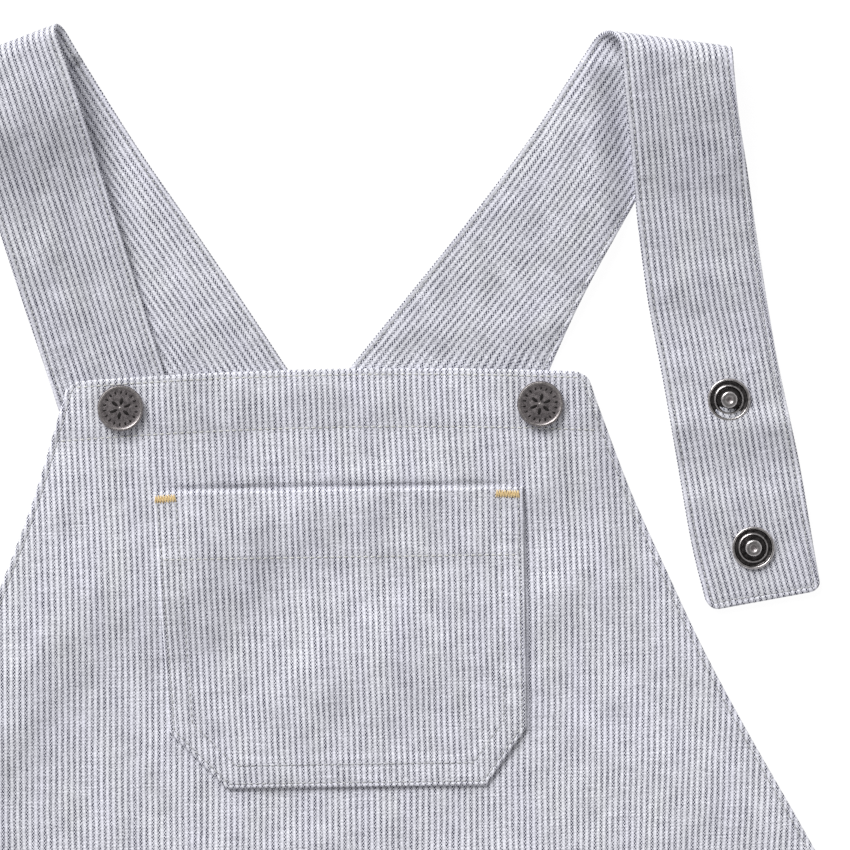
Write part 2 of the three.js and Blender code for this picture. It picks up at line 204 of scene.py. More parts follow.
# The straps as they lie: both edges seen from above, how high the underside is, how much the back tilts
# near the fold, how far each edge bends past it, which edge is the inner one, and whether the stripes run
# down both ways from the fold
FOLD_STEPS = 28
RIGHT_STRAP = {
    "back": {
        "left_x": [-3.2, -2.9, 9.6, 25.9, 47.6, 67.9, 82.9, 89.6],
        "left_y": [170.3, 173.2, 187.7, 206.7, 232, 257.4, 278.8, 288.6],
        "right_x": [67, 68.2, 74.6, 84.2, 98.6, 113.6, 126.4, 131],
        "right_y": [170.3, 173.2, 187.5, 206.5, 231, 254.4, 272.6, 279.8],
    },
    "front": {
        "left_x": [98.7, 99.8, 101.2, 102.4, 104.9, 107.6, 110, 113, 117, 121.4],
        "left_y": [286.3, 269, 249.8, 229.5, 204.2, 187, 171.4, 150, 122.6, 102.4],
        "right_x": [135.4, 136.4, 138.6, 140.7, 143.8, 146.2, 148.8, 152.5, 156.3, 158.4],
        "right_y": [278.2, 264, 246, 227, 202, 185, 170.4, 150, 122.6, 108],
    },
    "rise": {
        "back": {"y": [170, 188, 199, 215, 240, 289], "low": [0, 0, 1.3, 1.4, 1, 0]},
        "front": {
            "y": [
                286, 275, 267, 256, 246, 237, 228, 218, 208, 198, 188,
                180, 171, 163, 158, 153, 149, 144, 136, 122, 112, 102,
            ],
            "low": [
                10.8, 10.3, 9.3, 7.5, 5.0, 2.7, 2.2, 1.4, 1.3, 0.4, 0.5,
                1.3, 1.4, 2.6, 1.8, 0.6, 0.1, 0.3, 1.1, 0.9, 0.8, 0.9,
            ],
        },
    },
    "tilt": 4,
    "reach": (18.5, 27),
    "inner": "left",
    "mirrored": False,
}
LEFT_STRAP = {
    "back": {
        "left_x": [-75, -75, -76, -79.6, -86, -97.6, -109, -116],
        "left_y": [170.3, 173.2, 187, 203, 222, 247, 268, 281.8],
        "right_x": [-5, -5.3, -14.8, -26.4, -42.5, -59.4, -74.2, -81.1],
        "right_y": [170.3, 173.2, 188.4, 207.2, 232.6, 258.9, 284, 296.5],
    },
    "front": {
        "left_x": [-119.4, -115.6, -109.8, -104, -97.7, -89.7, -81.6, -74.4, -67.6],
        "left_y": [280.4, 268, 248.5, 228.8, 207.4, 181, 152, 125, 105.6],
        "right_x": [-84.3, -79.2, -73.3, -67, -60.2, -52.7, -44.9, -37.4, -31.6],
        "right_y": [295, 278.6, 257.7, 235.4, 211.4, 184.7, 157, 131, 114.6],
    },
    "rise": {
        "back": {"y": [170, 188, 199, 215, 240, 297], "low": [0, 0, 0.9, 1.5, 2.2, 2.6]},
        "front": {
            "y": [290, 283, 276, 269, 261, 253, 245, 236, 225, 212, 197, 183, 170, 105],
            "low": [9.7, 10.3, 10.8, 10.4, 8.4, 5.9, 4.1, 3.2, 2.9, 1.9, 1.5, 1.6, 1.5, 1.5],
        },
    },
    "tilt": 0,
    "reach": (27, 17),
    "inner": "right",
    "mirrored": True,
}

# Their rounded corners, how far apart their rows of points are, and how many cells lie across
STRAP_CORNER = 3.8
STRAP_STEP = 1.5
STRAP_CELLS = 38

# A strap's back under its front: it rises beside the front and tilts near the fold, clear of the fold itself
BESIDE_STRAP = 13
TILT_FROM = 196
TILT_OVER = 58
FOLD_CLEAR = 14

# Snaps: where they are, from above
LEFT_CAP = (-67.3, 174.3)
RIGHT_CAP = (68.8, 171.4)
LEFT_LOWER_STUD = (-54, 127.2)
RIGHT_UPPER_STUD = (130.2, 170.9)
RIGHT_LOWER_STUD = (136.6, 122.5)

# Heights that the front rides over at the snaps, with the flat middle and the slope round it
SOCKET_HEIGHT = 2.1
LEFT_HILL = {"high": 6.7, "flat": 9, "slope": 33}
RIGHT_HILL = {"high": LAY + SOCKET_HEIGHT + GAP + 0.1, "flat": 9, "slope": 34}

# Cloth round a snap: depth, radius and width of its dent, then height, rate, radius and width of the spokes
CAP_PUCKERS = {"dent": (-0.3, 7, 1.8), "spokes": (0.16, 3.4, 10.5, 3.2)}
STUD_PUCKERS = {"dent": (-0.22, 6.4, 1.6), "spokes": (0.1, 3.1, 9.5, 2.8)}

# The view: the lens, the frame's width, middle and level, the distance they give, and how far it is turned
LENS = 300
SENSOR = 36
SEEN_WIDTH = 276.25
SEEN_CENTRE = (31.2, 165.8)
SEEN_LEVEL = 3
SEEN_FROM = SEEN_WIDTH * LENS / SENSOR
SEEN_TURN = -1.8

# Stitches: how far in from a folded edge, how far apart, the size of the thread, and the size of the dark
# discs at the needle holes, which are painted shade
STITCH_IN = 2.0
STITCH_PITCH = 2.15
STITCH_LENGTH = 1.5
THREAD_HALF_WIDTH = 0.24
THREAD_HALF_HEIGHT = 0.17
STITCH_LIFT = 0.05
HOLE_SHADE_RADIUS = 0.26
PALE_HOLE_SHADE = 0.14

# Grooves that the stitches pull in, how faint some are, and the least that the front and the pocket are thick
SEAM_DEPTH = 0.26
GROOVE_WIDTH = 0.5
FAINT_GROOVE = 0.4
LEAST_FRONT = 0.25
LEAST_POCKET = 0.2

# A distance that is past everything
FAR = 1e3

# Distances in from an edge at which a shell has points, close enough to round it and sink its stitches
EDGE_STEPS = [0, 0.18, 0.45, 0.85, 1.4, STITCH_IN, 2.6, 3.4, 4.8]
EDGE_ROUND = 0.9


def smooth(t):
    t = np.clip(t, 0, 1)
    return t * t * (3 - 2 * t)


def bell(distance, width):
    """A smooth hump, 1 in its middle and nearly 0 from twice its width on."""
    return np.exp(-((distance / width) ** 2))


def columns(*values):
    """Several lists side by side, as rows of points."""
    return np.stack(values, axis=1)


def read_table(table, key, column, place):
    """One column of a table at places between its rows, along a smooth curve."""
    keys = np.asarray(table[key], float)
    values = np.asarray(table[column], float)
    order = np.argsort(keys)
    keys = keys[order]
    values = values[order]
    wide_keys = np.concatenate([keys[:1], keys, keys[-1:]])
    wide_values = np.concatenate([values[:1], values, values[-1:]])
    slopes = (wide_values[2:] - wide_values[:-2]) / (wide_keys[2:] - wide_keys[:-2])
    place = np.clip(place, keys[0], keys[-1])
    row = np.clip(np.searchsorted(keys, place) - 1, 0, len(keys) - 2)
    span = keys[row + 1] - keys[row]
    t = (place - keys[row]) / span
    start_weight = 2 * t**3 - 3 * t**2 + 1
    start_slope = (t**3 - 2 * t**2 + t) * span
    end_slope = (t**3 - t**2) * span
    blended = start_weight * values[row] + (1 - start_weight) * values[row + 1]
    return blended + start_slope * slopes[row] + end_slope * slopes[row + 1]


def front_half(level):
    return read_table(FRONT, "y", "half", level)


def front_inseam(level):
    return np.where(level < CROTCH, read_table(FRONT_INSEAM, "y", "half", level), 0)


def back_shift(y):
    return BACK_SHIFT * np.maximum(y, 0) / BACK_TOP


def back_half(y):
    armhole = read_table(BACK_ARMHOLE, "y", "half", y)
    return np.where(y > 0, armhole, front_half(y) - BACK_INSET)


def ridges(rows, x, y):
    """Height that soft ridges and troughs add at a place."""
    total = np.zeros(np.broadcast(x, y).shape)
    for row in rows:
        turn = radians(row.turn)
        along = (x - row.x) * cos(turn) + (y - row.y) * sin(turn)
        across = (y - row.y) * cos(turn) - (x - row.x) * sin(turn)
        total = total + row.high * (1 - smooth(np.abs(along) / row.long)) * bell(across, row.wide)
    return total


def ripple(place, shift):
    """An uneven wave along a seam, from about -1 to 1."""
    waves = np.sin(place / 1.31 + shift) + 0.8 * np.sin(place / 2.17 + 2.3 * shift)
    return (waves + 0.7 * np.sin(place / 0.83 + 1.7 * shift)) / 2.5


def crumple(x, y):
    """Low uneven waves in every direction, from about -1 to 1."""
    wide = np.sin(x / 5.9 + 1.3 * np.sin(y / 9.7)) * np.sin(y / 6.7 + 1.5 * np.sin(x / 8.3 + 0.7))
    fine = np.sin(x / 2.9 + 1.1 * np.sin(y / 4.3)) * np.sin(y / 2.5 + 1.2 * np.sin(x / 3.7 + 0.4))
    return (0.75 * wide + 0.25 * fine) * (0.7 + 0.3 * np.sin(x / 17 + y / 23))


def distance_to_line(x, y, start, end):
    dx = end[0] - start[0]
    dy = end[1] - start[1]
    t = np.clip(((x - start[0]) * dx + (y - start[1]) * dy) / (dx**2 + dy**2), 0, 1)
    return np.hypot(x - start[0] - t * dx, y - start[1] - t * dy)


def hill_share(hill, distance):
    return 1 - smooth((distance - hill["flat"]) / hill["slope"])


def hill_shares(x, y):
    left = hill_share(LEFT_HILL, distance_to_line(x, y, LEFT_CAP, LEFT_LOWER_STUD))
    return left, hill_share(RIGHT_HILL, np.hypot(x - RIGHT_CAP[0], y - RIGHT_CAP[1]))


def folds_of_body(x, y):
    """Height of the body's folds, which fade out at the snaps."""
    left_share, right_share = hill_shares(x, y)
    folds = ridges(FOLDS, x, y) + ridges(CREASES, x, y) + BODY_CRUMPLE * crumple(x, y)
    return np.maximum(folds * (1 - left_share) * (1 - right_share), LEAST_FOLD)


def front_low(x, y):
    """Height of the front's underside: over the back and the straps, down to the surface beside them."""
    beside = np.abs(x - back_shift(y)) - back_half(np.clip(y, 0.01, BACK_TOP)) - BESIDE_START
    wide = np.where(x < 0, BESIDE_WIDE["left"], BESIDE_WIDE["right"])
    base = LAY * (1 - np.where(y > 0, smooth(beside / wide), 0))
    left_share, right_share = hill_shares(x, y)
    left_rise = (LEFT_HILL["high"] - base) * left_share
    return base + left_rise + (RIGHT_HILL["high"] - base) * right_share + folds_of_body(x, y)


def rounded(distance, reach=EDGE_ROUND):
    """How full a folded edge is at a distance in from it, from 0 at the edge to 1."""
    rest = 1 - np.clip(distance / reach, 0, 1)
    return np.sqrt(1 - rest**2)


def groove(distance):
    return SEAM_DEPTH * bell(distance, GROOVE_WIDTH)


def level_drop(x, level):
    return (CROWN * (x / front_half(TOP)) ** 2 + TILT * x) * smooth(level / TOP)


def front_slant(level):
    """How much longer a distance in from the armhole is when it is measured straight across."""
    slope = (front_half(level + 1) - front_half(level - 1)) / 2
    return np.clip(np.sqrt(1 + slope**2), 1, 1.25)


def snap_puckers(x, y, snap, puckers):
    """The dent that a snap presses round itself, and the uneven spokes of cloth outside it."""
    away = np.hypot(x - snap[0], y - snap[1])
    deep, dent_radius, dent_width = puckers["dent"]
    high, spacing, radius, width = puckers["spokes"]
    total = deep * bell(away - dent_radius, dent_width)
    uneven = ripple(spacing * np.arctan2(y - snap[1], x - snap[0]), snap[0])
    return total + high * uneven * bell(away - radius, width)


def front_thickness(x, y, level, edge, outer):
    """The front's cloth with its doubled band and hems, the grooves of its stitches and its edges."""
    from_top = TOP - level
    from_hem = level - HEM
    band = BAND * (smooth((level - BAND_LINE + 4.5) / 8) + 1 - smooth((from_hem - HEM_BAND) / 0.9))
    thick = CLOTH + (band - 0.5 * bell(level - BAND_LINE - 0.6, 3.4))
    thick = thick * (0.45 + 0.55 * rounded(np.minimum(np.minimum(edge, from_top), from_hem)))
    hemmed = smooth((level + 4) / 12)
    thick = thick + 0.12 * bell(outer - 1, 0.6) * hemmed
    thick = thick - groove(outer - STITCH_IN) * hemmed - FAINT_GROOVE * groove(from_top - STITCH_IN)
    thick = thick - FAINT_GROOVE * groove(level - BAND_LINE - 1) - groove(from_hem - HEM_BAND + 1)

    across = x - POCKET_MOUTH["x"]
    above = y - POCKET_MOUTH["y"] + across * POCKET_MOUTH["fall"]
    beyond = 1 - smooth((np.abs(across) - MOUTH_DENT["reach"]) / MOUTH_DENT["fade"])
    return thick - MOUTH_DENT["deep"] * bell(above - MOUTH_DENT["above"], MOUTH_DENT["wide"]) * beyond


def front_puckers(x, y, level, outer):
    """Small uneven waves along the front's stitches, and a dent with spokes round its caps."""
    total = 0.11 * ripple(level, 0.4 + np.sign(x)) * bell(outer - STITCH_IN, 3.2) * smooth((level + 4) / 12)
    total = total + 0.1 * ripple(x, 1.1) * bell(level - BAND_LINE, 3.4)
    total = total + 0.08 * ripple(x, 2.6) * bell(TOP - level - STITCH_IN, 3)
    total = total + 0.22 * ripple(x + 0.8 * level, 3.1) * bell(level - HEM - 12, 8)
    for cap in (LEFT_CAP, RIGHT_CAP):
        total = total + snap_puckers(x, y, cap, CAP_PUCKERS)
    return total


def front_surfaces(x, level):
    """The front's y, underside and top, at a place across and at a level."""
    y = level - level_drop(x, level)
    rest = front_low(x, y)
    outer = (front_half(level) - np.abs(x)) / front_slant(level)
    inner = np.where(level < CROTCH, np.abs(x) - front_inseam(level), FAR)
    edge = np.minimum(outer, inner)
    seam = 1 - smooth(level / SEAM_FADE)
    low = rest * (1 - seam * (1 - smooth((edge - ROLL_START) / (ROLL - ROLL_START))))
    ground = rest * (1 - seam * (1 - rounded(edge, ROLL)))
    thick = front_thickness(x, y, level, edge, outer) + front_puckers(x, y, level, outer)
    return y, low, ground + np.maximum(thick, LEAST_FRONT)


def grain_shift(x, y):
    """How far the stripes lean away from the centre line at a place."""
    upper = 1.15 * smooth((y - 100) / 85) ** 1.5
    lower = 2.4 * smooth((125 - y) / 130)
    right = 4.6 * smooth((x - 60) / 75) * smooth((100 - y) / 130)
    return upper + lower + right


def edge_places(start, end, count, round_start=True, round_end=True, scale=1.0):
    """Places along a span, close together at its rounded ends and even between them."""
    way = 1 if end > start else -1
    steps = [step * scale for step in EDGE_STEPS]
    first = [start + way * step for step in steps] if round_start else [start]
    last = [end - way * step for step in reversed(steps)] if round_end else [end]
    middle = np.linspace(first[-1], last[0], count + 2 - len(first) - len(last) + 1)[1:-1]
    return np.array([*first, *middle, *last])


def grid_cells(above, below, count):
    """Four-sided cells between two rows of points, each row given by its first point."""
    step = np.arange(count)
    return np.stack([above + step, below + step, below + step + 1, above + step + 1], axis=1)


def new_mesh(name, points, faces, materials, which=None, grain=None):
    """A smooth-shaded object from points in millimetres, with its stripes' own map if it has one."""
    mesh = bpy.data.meshes.new(name)
    mesh.from_pydata((np.asarray(points) * MM).tolist(), [], [list(map(int, face)) for face in faces])
    mesh.polygons.foreach_set("use_smooth", [True] * len(mesh.polygons))
    for material in materials:
        mesh.materials.append(material)
    if which is not None:
        mesh.polygons.foreach_set("material_index", which)
    if grain is not None:
        corner_points = np.empty(len(mesh.loops), dtype=np.int32)
        mesh.loops.foreach_get("vertex_index", corner_points)
        layer = mesh.uv_layers.new(name="grain")
        layer.data.foreach_set("uv", (np.asarray(grain)[corner_points] * MM).ravel())
    mesh.validate()
    piece = bpy.data.objects.new(name, mesh)
    bpy.context.scene.collection.objects.link(piece)
    return piece


def make_shell(name, high, low, cells, grain, materials):
    """A thin closed cloth from its top and its underside, with a wall round each free edge."""
    count = len(high)
    starts = cells
    ends = np.roll(cells, -1, axis=1)
    forward = (starts.astype(np.int64) * count + ends).ravel()
    backward = (ends.astype(np.int64) * count + starts).ravel()
    free = ~np.isin(backward, forward)
    a = starts.ravel()[free]
    b = ends.ravel()[free]
    walls = np.stack([b, a, a + count, b + count], axis=1)
    faces = np.concatenate([cells, cells[:, ::-1] + count, walls])
    points = np.concatenate([high, low])
    which = [0] * len(cells) + [len(materials) - 1] * len(cells) + [0] * len(walls)
    return new_mesh(name, points, faces, materials, which, np.concatenate([grain, grain]))


def joined(parts):
    """Several lists of points and faces as one, with the material number of each face."""
    points = []
    faces = []
    which = []
    count = 0
    for part_points, part_faces, number in parts:
        points.append(np.asarray(part_points, float))
        faces.extend([[corner + count for corner in face] for face in part_faces])
        which.extend([number] * len(part_faces))
        count += len(part_points)
    return np.concatenate(points), faces, which


def lengths_along(path):
    return np.concatenate([[0], np.cumsum(np.linalg.norm(np.diff(path, axis=0), axis=1))])


def along_path(path, values, places):
    lengths = lengths_along(path)
    return np.stack([np.interp(places, lengths, values[:, k]) for k in range(values.shape[1])], axis=1)


def unit(vectors):
    return vectors / np.linalg.norm(vectors, axis=-1, keepdims=True)


# Rings along a stitch, each as place along its half length, fullness and rise
STITCH_RINGS = [
    (-1, 0.3, -0.17), (-0.78, 0.85, 0), (-0.3, 1, 0.09), (0.3, 1, 0.09), (0.78, 0.85, 0), (1, 0.3, -0.17),
]
THREAD_SIDES = 6
# How far the middle of a needle hole's dark disc of painted shade stands up, and how far its rim sinks
HOLE_SHADE_RISE = 0.07
HOLE_SHADE_SINK = 0.03


def tube_faces(rings, around):
    """Four-sided faces between rings of points."""
    faces = []
    for ring in range(rings - 1):
        for k in range(around):
            here = ring * around + k
            beside = ring * around + (k + 1) % around
            faces.append([here, beside, beside + around, here + around])
    return faces


def repeated(faces, size, count):
    """The faces of a small form of so many points, for each of its copies."""
    return [[corner + k * size for corner in face] for k in range(count) for face in faces]


def frames_along(path, normals, places):
    """Points at places along a path, with the ways up, ahead and to the side there."""
    up = unit(along_path(path, normals, places))
    ahead = unit(along_path(path, path, places + 0.4) - along_path(path, path, places - 0.4))
    return along_path(path, path, places), up, ahead, unit(np.cross(up, ahead))


def up_normals(path):
    return np.tile([0.0, 0.0, 1.0], (len(path), 1))


def stitch_parts(path, normals=None, pitch=STITCH_PITCH, length=STITCH_LENGTH, hole_shade_radius=HOLE_SHADE_RADIUS):
    """A row of stitches along a path on the cloth, and small dark discs between them: painted shade at the
    needle holes.
    """
    normals = up_normals(path) if normals is None else normals
    total = lengths_along(path)[-1]
    count = max(int(total / pitch), 1)
    middle, up, ahead, side = frames_along(path, normals, (np.arange(count) + 0.5) * total / count)
    ring_angle = np.arange(THREAD_SIDES) * 2 * pi / THREAD_SIDES
    points = []
    for shift, scale, rise in STITCH_RINGS:
        for angle in ring_angle:
            wide = THREAD_HALF_WIDTH * scale * cos(angle)
            tall = THREAD_HALF_HEIGHT * scale * sin(angle) + rise
            points.append(middle + ahead * shift * length / 2 + side * wide + up * tall)
    points = columns(*points).reshape(-1, 3)
    per_stitch = len(STITCH_RINGS) * THREAD_SIDES
    stitch = [[a, d, c, b] for a, b, c, d in tube_faces(len(STITCH_RINGS), THREAD_SIDES)]
    stitch.append(list(range(THREAD_SIDES)))
    stitch.append([per_stitch - 1 - k for k in range(THREAD_SIDES)])

    middle, up, ahead, side = frames_along(path, normals, np.arange(count + 1) * total / count)
    hole_shade_points = [middle + up * HOLE_SHADE_RISE]
    for angle in ring_angle:
        flat = ahead * cos(angle) + side * sin(angle)
        hole_shade_points.append(middle + flat * hole_shade_radius - up * HOLE_SHADE_SINK)
    hole_shade_points = columns(*hole_shade_points).reshape(-1, 3)
    hole = [[0, 1 + k, 1 + (k + 1) % THREAD_SIDES] for k in range(THREAD_SIDES)]
    return [
        (points, repeated(stitch, per_stitch, count), 0),
        (hole_shade_points, repeated(hole, THREAD_SIDES + 1, count + 1), 1),
    ]


def lathe_parts(profile, sides, centre):
    """Points and faces of a form turned about the vertical, its profile given as radius and height."""
    points = []
    rings = []
    for radius, height in profile:
        count = 1 if radius == 0 else sides
        rings.append((len(points), count))
        for k in range(count):
            angle = 2 * pi * k / sides
            x = centre[0] + radius * cos(angle)
            points.append((x, centre[1] + radius * sin(angle), centre[2] + height))
    faces = []
    for (first, count), (second, next_count) in zip(rings, rings[1:]):
        for k in range(sides):
            after = (k + 1) % sides
            corners = [first + k % count, first + after % count]
            corners += [second + after % next_count, second + k % next_count]
            faces.append(list(dict.fromkeys(corners)))
    return points, faces


class Graph:
    """Short calls for the nodes of one material or world."""

    def __init__(self, owner):
        owner.use_nodes = True
        self.owner = owner
        self.nodes = owner.node_tree.nodes
        self.links = owner.node_tree.links
        self.shader = self.nodes.get("Principled BSDF")

    def feed(self, socket, value):
        if isinstance(value, bpy.types.NodeSocket):
            self.links.new(value, socket)
        else:
            socket.default_value = value

    def put(self, kind, values, **settings):
        node = self.nodes.new(kind)
        for key, value in settings.items():
            setattr(node, key, value)
        for key, value in values.items():
            self.feed(node.inputs[key], value)
        return node

    def math(self, operation, *values, clamp=False):
        node = self.put("ShaderNodeMath", dict(enumerate(values)), operation=operation, use_clamp=clamp)
        return node.outputs[0]

    def plus(self, first, second, clamp=False):
        return self.math("ADD", first, second, clamp=clamp)

    def minus(self, first, second):
        return self.math("SUBTRACT", first, second)

    def times(self, first, second):
        return self.math("MULTIPLY", first, second)

    def noise(self, vector, scale, detail=2.0, stretch=(1, 1, 1)):
        scaled = self.put("ShaderNodeMapping", {"Vector": vector, "Scale": stretch}).outputs[0]
        node = self.put("ShaderNodeTexNoise", {"Vector": scaled, "Scale": scale, "Detail": detail})
        return node.outputs["Fac"]

    def centred(self, value, amount):
        return self.times(self.minus(value, 0.5), amount)

    def mix(self, factor, first, second):
        node = self.put("ShaderNodeMix", {0: factor, 6: first, 7: second}, data_type="RGBA")
        return node.outputs[2]

    def bump(self, height, strength, distance):
        node = self.put("ShaderNodeBump", {"Height": height, "Strength": strength, "Distance": distance})
        self.links.new(node.outputs[0], self.shader.inputs["Normal"])

    def place(self):
        return self.put("ShaderNodeTexCoord", {}).outputs["Object"]

    def finish(self, colour, **constants):
        self.feed(self.shader.inputs["Base Color"], colour)
        for key, value in constants.items():
            self.shader.inputs[key.replace("_", " ")].default_value = value
        return self.owner


# The twill: distance from one stripe to the next, half a dark stripe and the softness of its edges
STRIPE_PITCH = 1.95
STRIPE_HALF = 0.53
STRIPE_SOFT = 0.56
# Its dark specks: their distance along a stripe, the slope of their diagonals, and how dark both ways are
SPECK_STEP = 1.12
SPECK_SLOPE = 1.25
SPECK_BASE = 0.52
SPECK_RISING = 0.95
SPECK_FALLING = 0.65
WHITE_YARN = (0.795, 0.79, 0.9, 1)
COOL_YARN = (0.79, 0.8, 0.825, 1)
DARK_YARN = (0.028, 0.029, 0.062, 1)


def make_twill(name, shade):
    graph = Graph(bpy.data.materials.new(name))
    grain = graph.put("ShaderNodeUVMap", {}, uv_map="grain").outputs[0]
    parts = graph.put("ShaderNodeSeparateXYZ", {0: grain})
    across = graph.times(parts.outputs[0], 1 / MM)
    along = graph.times(parts.outputs[1], 1 / MM)
    sway = graph.centred(graph.noise(grain, 32, 1.0), 0.8)
    waver = graph.centred(graph.noise(grain, 170, 1.0, (1, 0.6, 1)), 0.36)
    count = graph.math("DIVIDE", graph.plus(across, graph.plus(sway, waver)), STRIPE_PITCH)
    number = graph.times(graph.math("FLOOR", count), 0.37)
    place = graph.centred(graph.math("FRACT", count), STRIPE_PITCH)
    thread = graph.put("ShaderNodeCombineXYZ", {0: number, 1: parts.outputs[1]}).outputs[0]
    width = graph.plus(graph.centred(graph.noise(thread, 1, 2.0, (1, 90, 1)), 0.34), STRIPE_HALF)
    inside = graph.minus(width, graph.math("ABSOLUTE", place))
    edges = {0: inside, 1: -STRIPE_SOFT / 2, 2: STRIPE_SOFT / 2}
    stripe = graph.put("ShaderNodeMapRange", edges, interpolation_type="SMOOTHSTEP").outputs[0]

    turn = graph.times(along, 2 * pi / SPECK_STEP)
    lean = graph.times(place, 2 * pi * SPECK_SLOPE)
    rising = graph.math("COSINE", graph.minus(turn, lean))
    falling = graph.math("COSINE", graph.plus(turn, lean))
    specks = graph.minus(graph.times(rising, SPECK_RISING), graph.times(falling, SPECK_FALLING))
    fade = graph.centred(graph.noise(thread, 1, 2.0, (1, 130, 1)), 1.1)
    knots = graph.centred(graph.noise(grain, 1600, 1.0), 3.0)
    depth = graph.plus(graph.plus(specks, SPECK_BASE), graph.plus(fade, knots), clamp=True)

    weft = graph.centred(graph.noise(grain, 1, 1.0, (80, 1500, 1)), 0.5)
    fuzz = graph.centred(graph.noise(grain, 1900, 2.0), 0.9)
    patches = graph.centred(graph.noise(grain, 110, 3.0), 0.3)
    bright = graph.plus(graph.plus(weft, fuzz), graph.plus(patches, 1.0))
    # The white ground is made lighter and darker along the twill's rising diagonals: painted shade of the
    # twill's ridges, on top of their bump below. The shade argument then scales the ground's brightness.
    bright = graph.times(graph.plus(bright, graph.times(rising, 0.16)), shade)
    tint = graph.mix(graph.noise(grain, 120, 1.0, (1, 0.3, 1)), WHITE_YARN, COOL_YARN)
    ground = graph.put("ShaderNodeVectorMath", {0: tint, 3: bright}, operation="SCALE").outputs[0]
    colour = graph.mix(graph.times(depth, stripe), ground, DARK_YARN)

    rough_cloth = graph.noise(grain, 260, 3.0, (1, 0.6, 1))
    graph.bump(graph.plus(graph.times(rising, 0.05), graph.times(rough_cloth, 0.9)), 0.6, 0.22 * MM)
    return graph.finish(
        colour, Roughness=0.88, Sheen_Weight=0.15, Sheen_Roughness=0.5, Specular_IOR_Level=0.2,
    )


def make_thread(name, light, shade, twist):
    graph = Graph(bpy.data.materials.new(name))
    plies = graph.noise(graph.place(), 1, 2.0, (twist, twist, twist))
    graph.bump(plies, 0.4, 0.08 * MM)
    colour = graph.mix(plies, shade, light)
    return graph.finish(colour, Roughness=0.6, Sheen_Weight=0.2, Specular_IOR_Level=0.35)


def make_metal(name, light, shade, roughness, grit):
    graph = Graph(bpy.data.materials.new(name))
    place = graph.place()
    cloudy = graph.noise(place, 900, 3.0)
    grain = graph.noise(place, 5200, 2.0)
    speckle = graph.plus(0.5, graph.centred(grain, 0.9))
    tone = graph.plus(graph.centred(cloudy, 1.8), speckle, clamp=True)
    graph.bump(grain, grit, 0.05 * MM)
    graph.feed(graph.shader.inputs["Roughness"], graph.plus(roughness, graph.centred(cloudy, 0.24)))
    return graph.finish(graph.mix(tone, shade, light), Metallic=1.0)


twill_cloth = make_twill("striped_twill", 1.0)
# A copy of the twill with its white ground at 0.9 of the brightness: painted shade on the straps' underside
# faces, which face up past each fold.
twill_painted_shade = make_twill("striped_twill_painted_shade", 0.9)
light_thread = make_thread("light_thread", (0.7, 0.7, 0.72, 1), (0.26, 0.27, 0.28, 1), 900)
amber_thread = make_thread("amber_thread", (0.95, 0.77, 0.43, 1), (0.55, 0.34, 0.12, 1), 1300)
pale_thread = make_thread("pale_thread", (0.82, 0.82, 0.8, 1), (0.46, 0.46, 0.44, 1), 900)
# Dark discs at the needle holes: painted shade where the thread pulls into the cloth.
needle_hole_shade = make_thread("needle_hole_shade", (0.1, 0.1, 0.13, 1), (0.03, 0.03, 0.05, 1), 1500)
pewter = make_metal("antique_pewter", (0.34, 0.308, 0.312, 1), (0.145, 0.13, 0.134, 1), 0.44, 1.0)
worn_pewter = make_metal("worn_pewter", (0.5, 0.47, 0.46, 1), (0.24, 0.22, 0.22, 1), 0.42, 0.4)
dark_pewter = make_metal("dark_pewter", (0.06, 0.055, 0.055, 1), (0.02, 0.018, 0.018, 1), 0.5, 0.3)
gunmetal = make_metal("gunmetal", (0.72, 0.69, 0.69, 1), (0.36, 0.34, 0.34, 1), 0.27, 0.2)
# A dark copy of the gunmetal: painted shade and painted dark reflection in a stud's dish, on the slopes into
# it and on its post's side.
gunmetal_painted_shade_and_reflection = make_metal("gunmetal_painted_shade_and_reflection", (0.14, 0.13, 0.13, 1), (0.02, 0.018, 0.018, 1), 0.3, 0.3)


def thread_piece(name, parts, threads=None):
    points, faces, which = joined(parts)
    piece = new_mesh(name, points, faces, threads or [light_thread, needle_hole_shade], which)
    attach(piece, "root")
    return piece


def cloth_piece(name, high, low, cells, grain, node, materials):
    piece = make_shell(name, high, low, cells, grain, materials)
    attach(piece, "root")
    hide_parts(node)
    return piece


# Cells from the middle to a side, and how far apart the rows of points are in each stretch
HALF_CELLS = 66
MOUTH_STEP = 0.5
BIB_STEP = 1.35
FADE_STEP = 1.7
BODY_STEP = 3.2
LEG_STEP = 4.1
HEM_STEP = 2.2
BACK_BIB_STEP = 3
BACK_BODY_STEP = 4
BACK_LEG_STEP = 4.5

# Rows round the band's and the hem's stitches, and rows down from each crotch
BAND_LINE_ROWS = [1.9, 1.45, 1, 0.55, 0.2, -0.15, -0.5, -0.9, -1.5]
HEM_LINE_ROWS = [-1.2, -0.7, -0.3, 0.2, 0.6, 1, 1.4, 2]
CROTCH_ROWS = [1, 2.2, 3.8, 5.6, 8, 11, 14.5, 19, 24, 30]
BACK_CROTCH_ROWS = [1, 2.2, 3.4, 5, 8, 12, 17, 24, 32, 41, 66]

# Levels between which the rows are close, for the dent above the pocket's mouth
MOUTH_TOP = 150.4
MOUTH_END = 144.8


def spaced(start, end, step):
    """Levels from just after the start to the end, about a step apart."""
    count = max(round(abs(end - start) / step), 1)
    return start + (end - start) * np.arange(1, count + 1) / count


def front_levels():
    top = [TOP - step for step in EDGE_STEPS]
    line = BAND_LINE + np.array(BAND_LINE_ROWS)
    return np.concatenate([
        top, spaced(top[-1], BAND_LINE + 2.4, BIB_STEP), line, spaced(line[-1], MOUTH_TOP, BIB_STEP),
        spaced(MOUTH_TOP, MOUTH_END, MOUTH_STEP), spaced(MOUTH_END, SEAM_FADE, BIB_STEP),
        spaced(SEAM_FADE, 0, FADE_STEP), spaced(0, CROTCH, BODY_STEP),
    ])


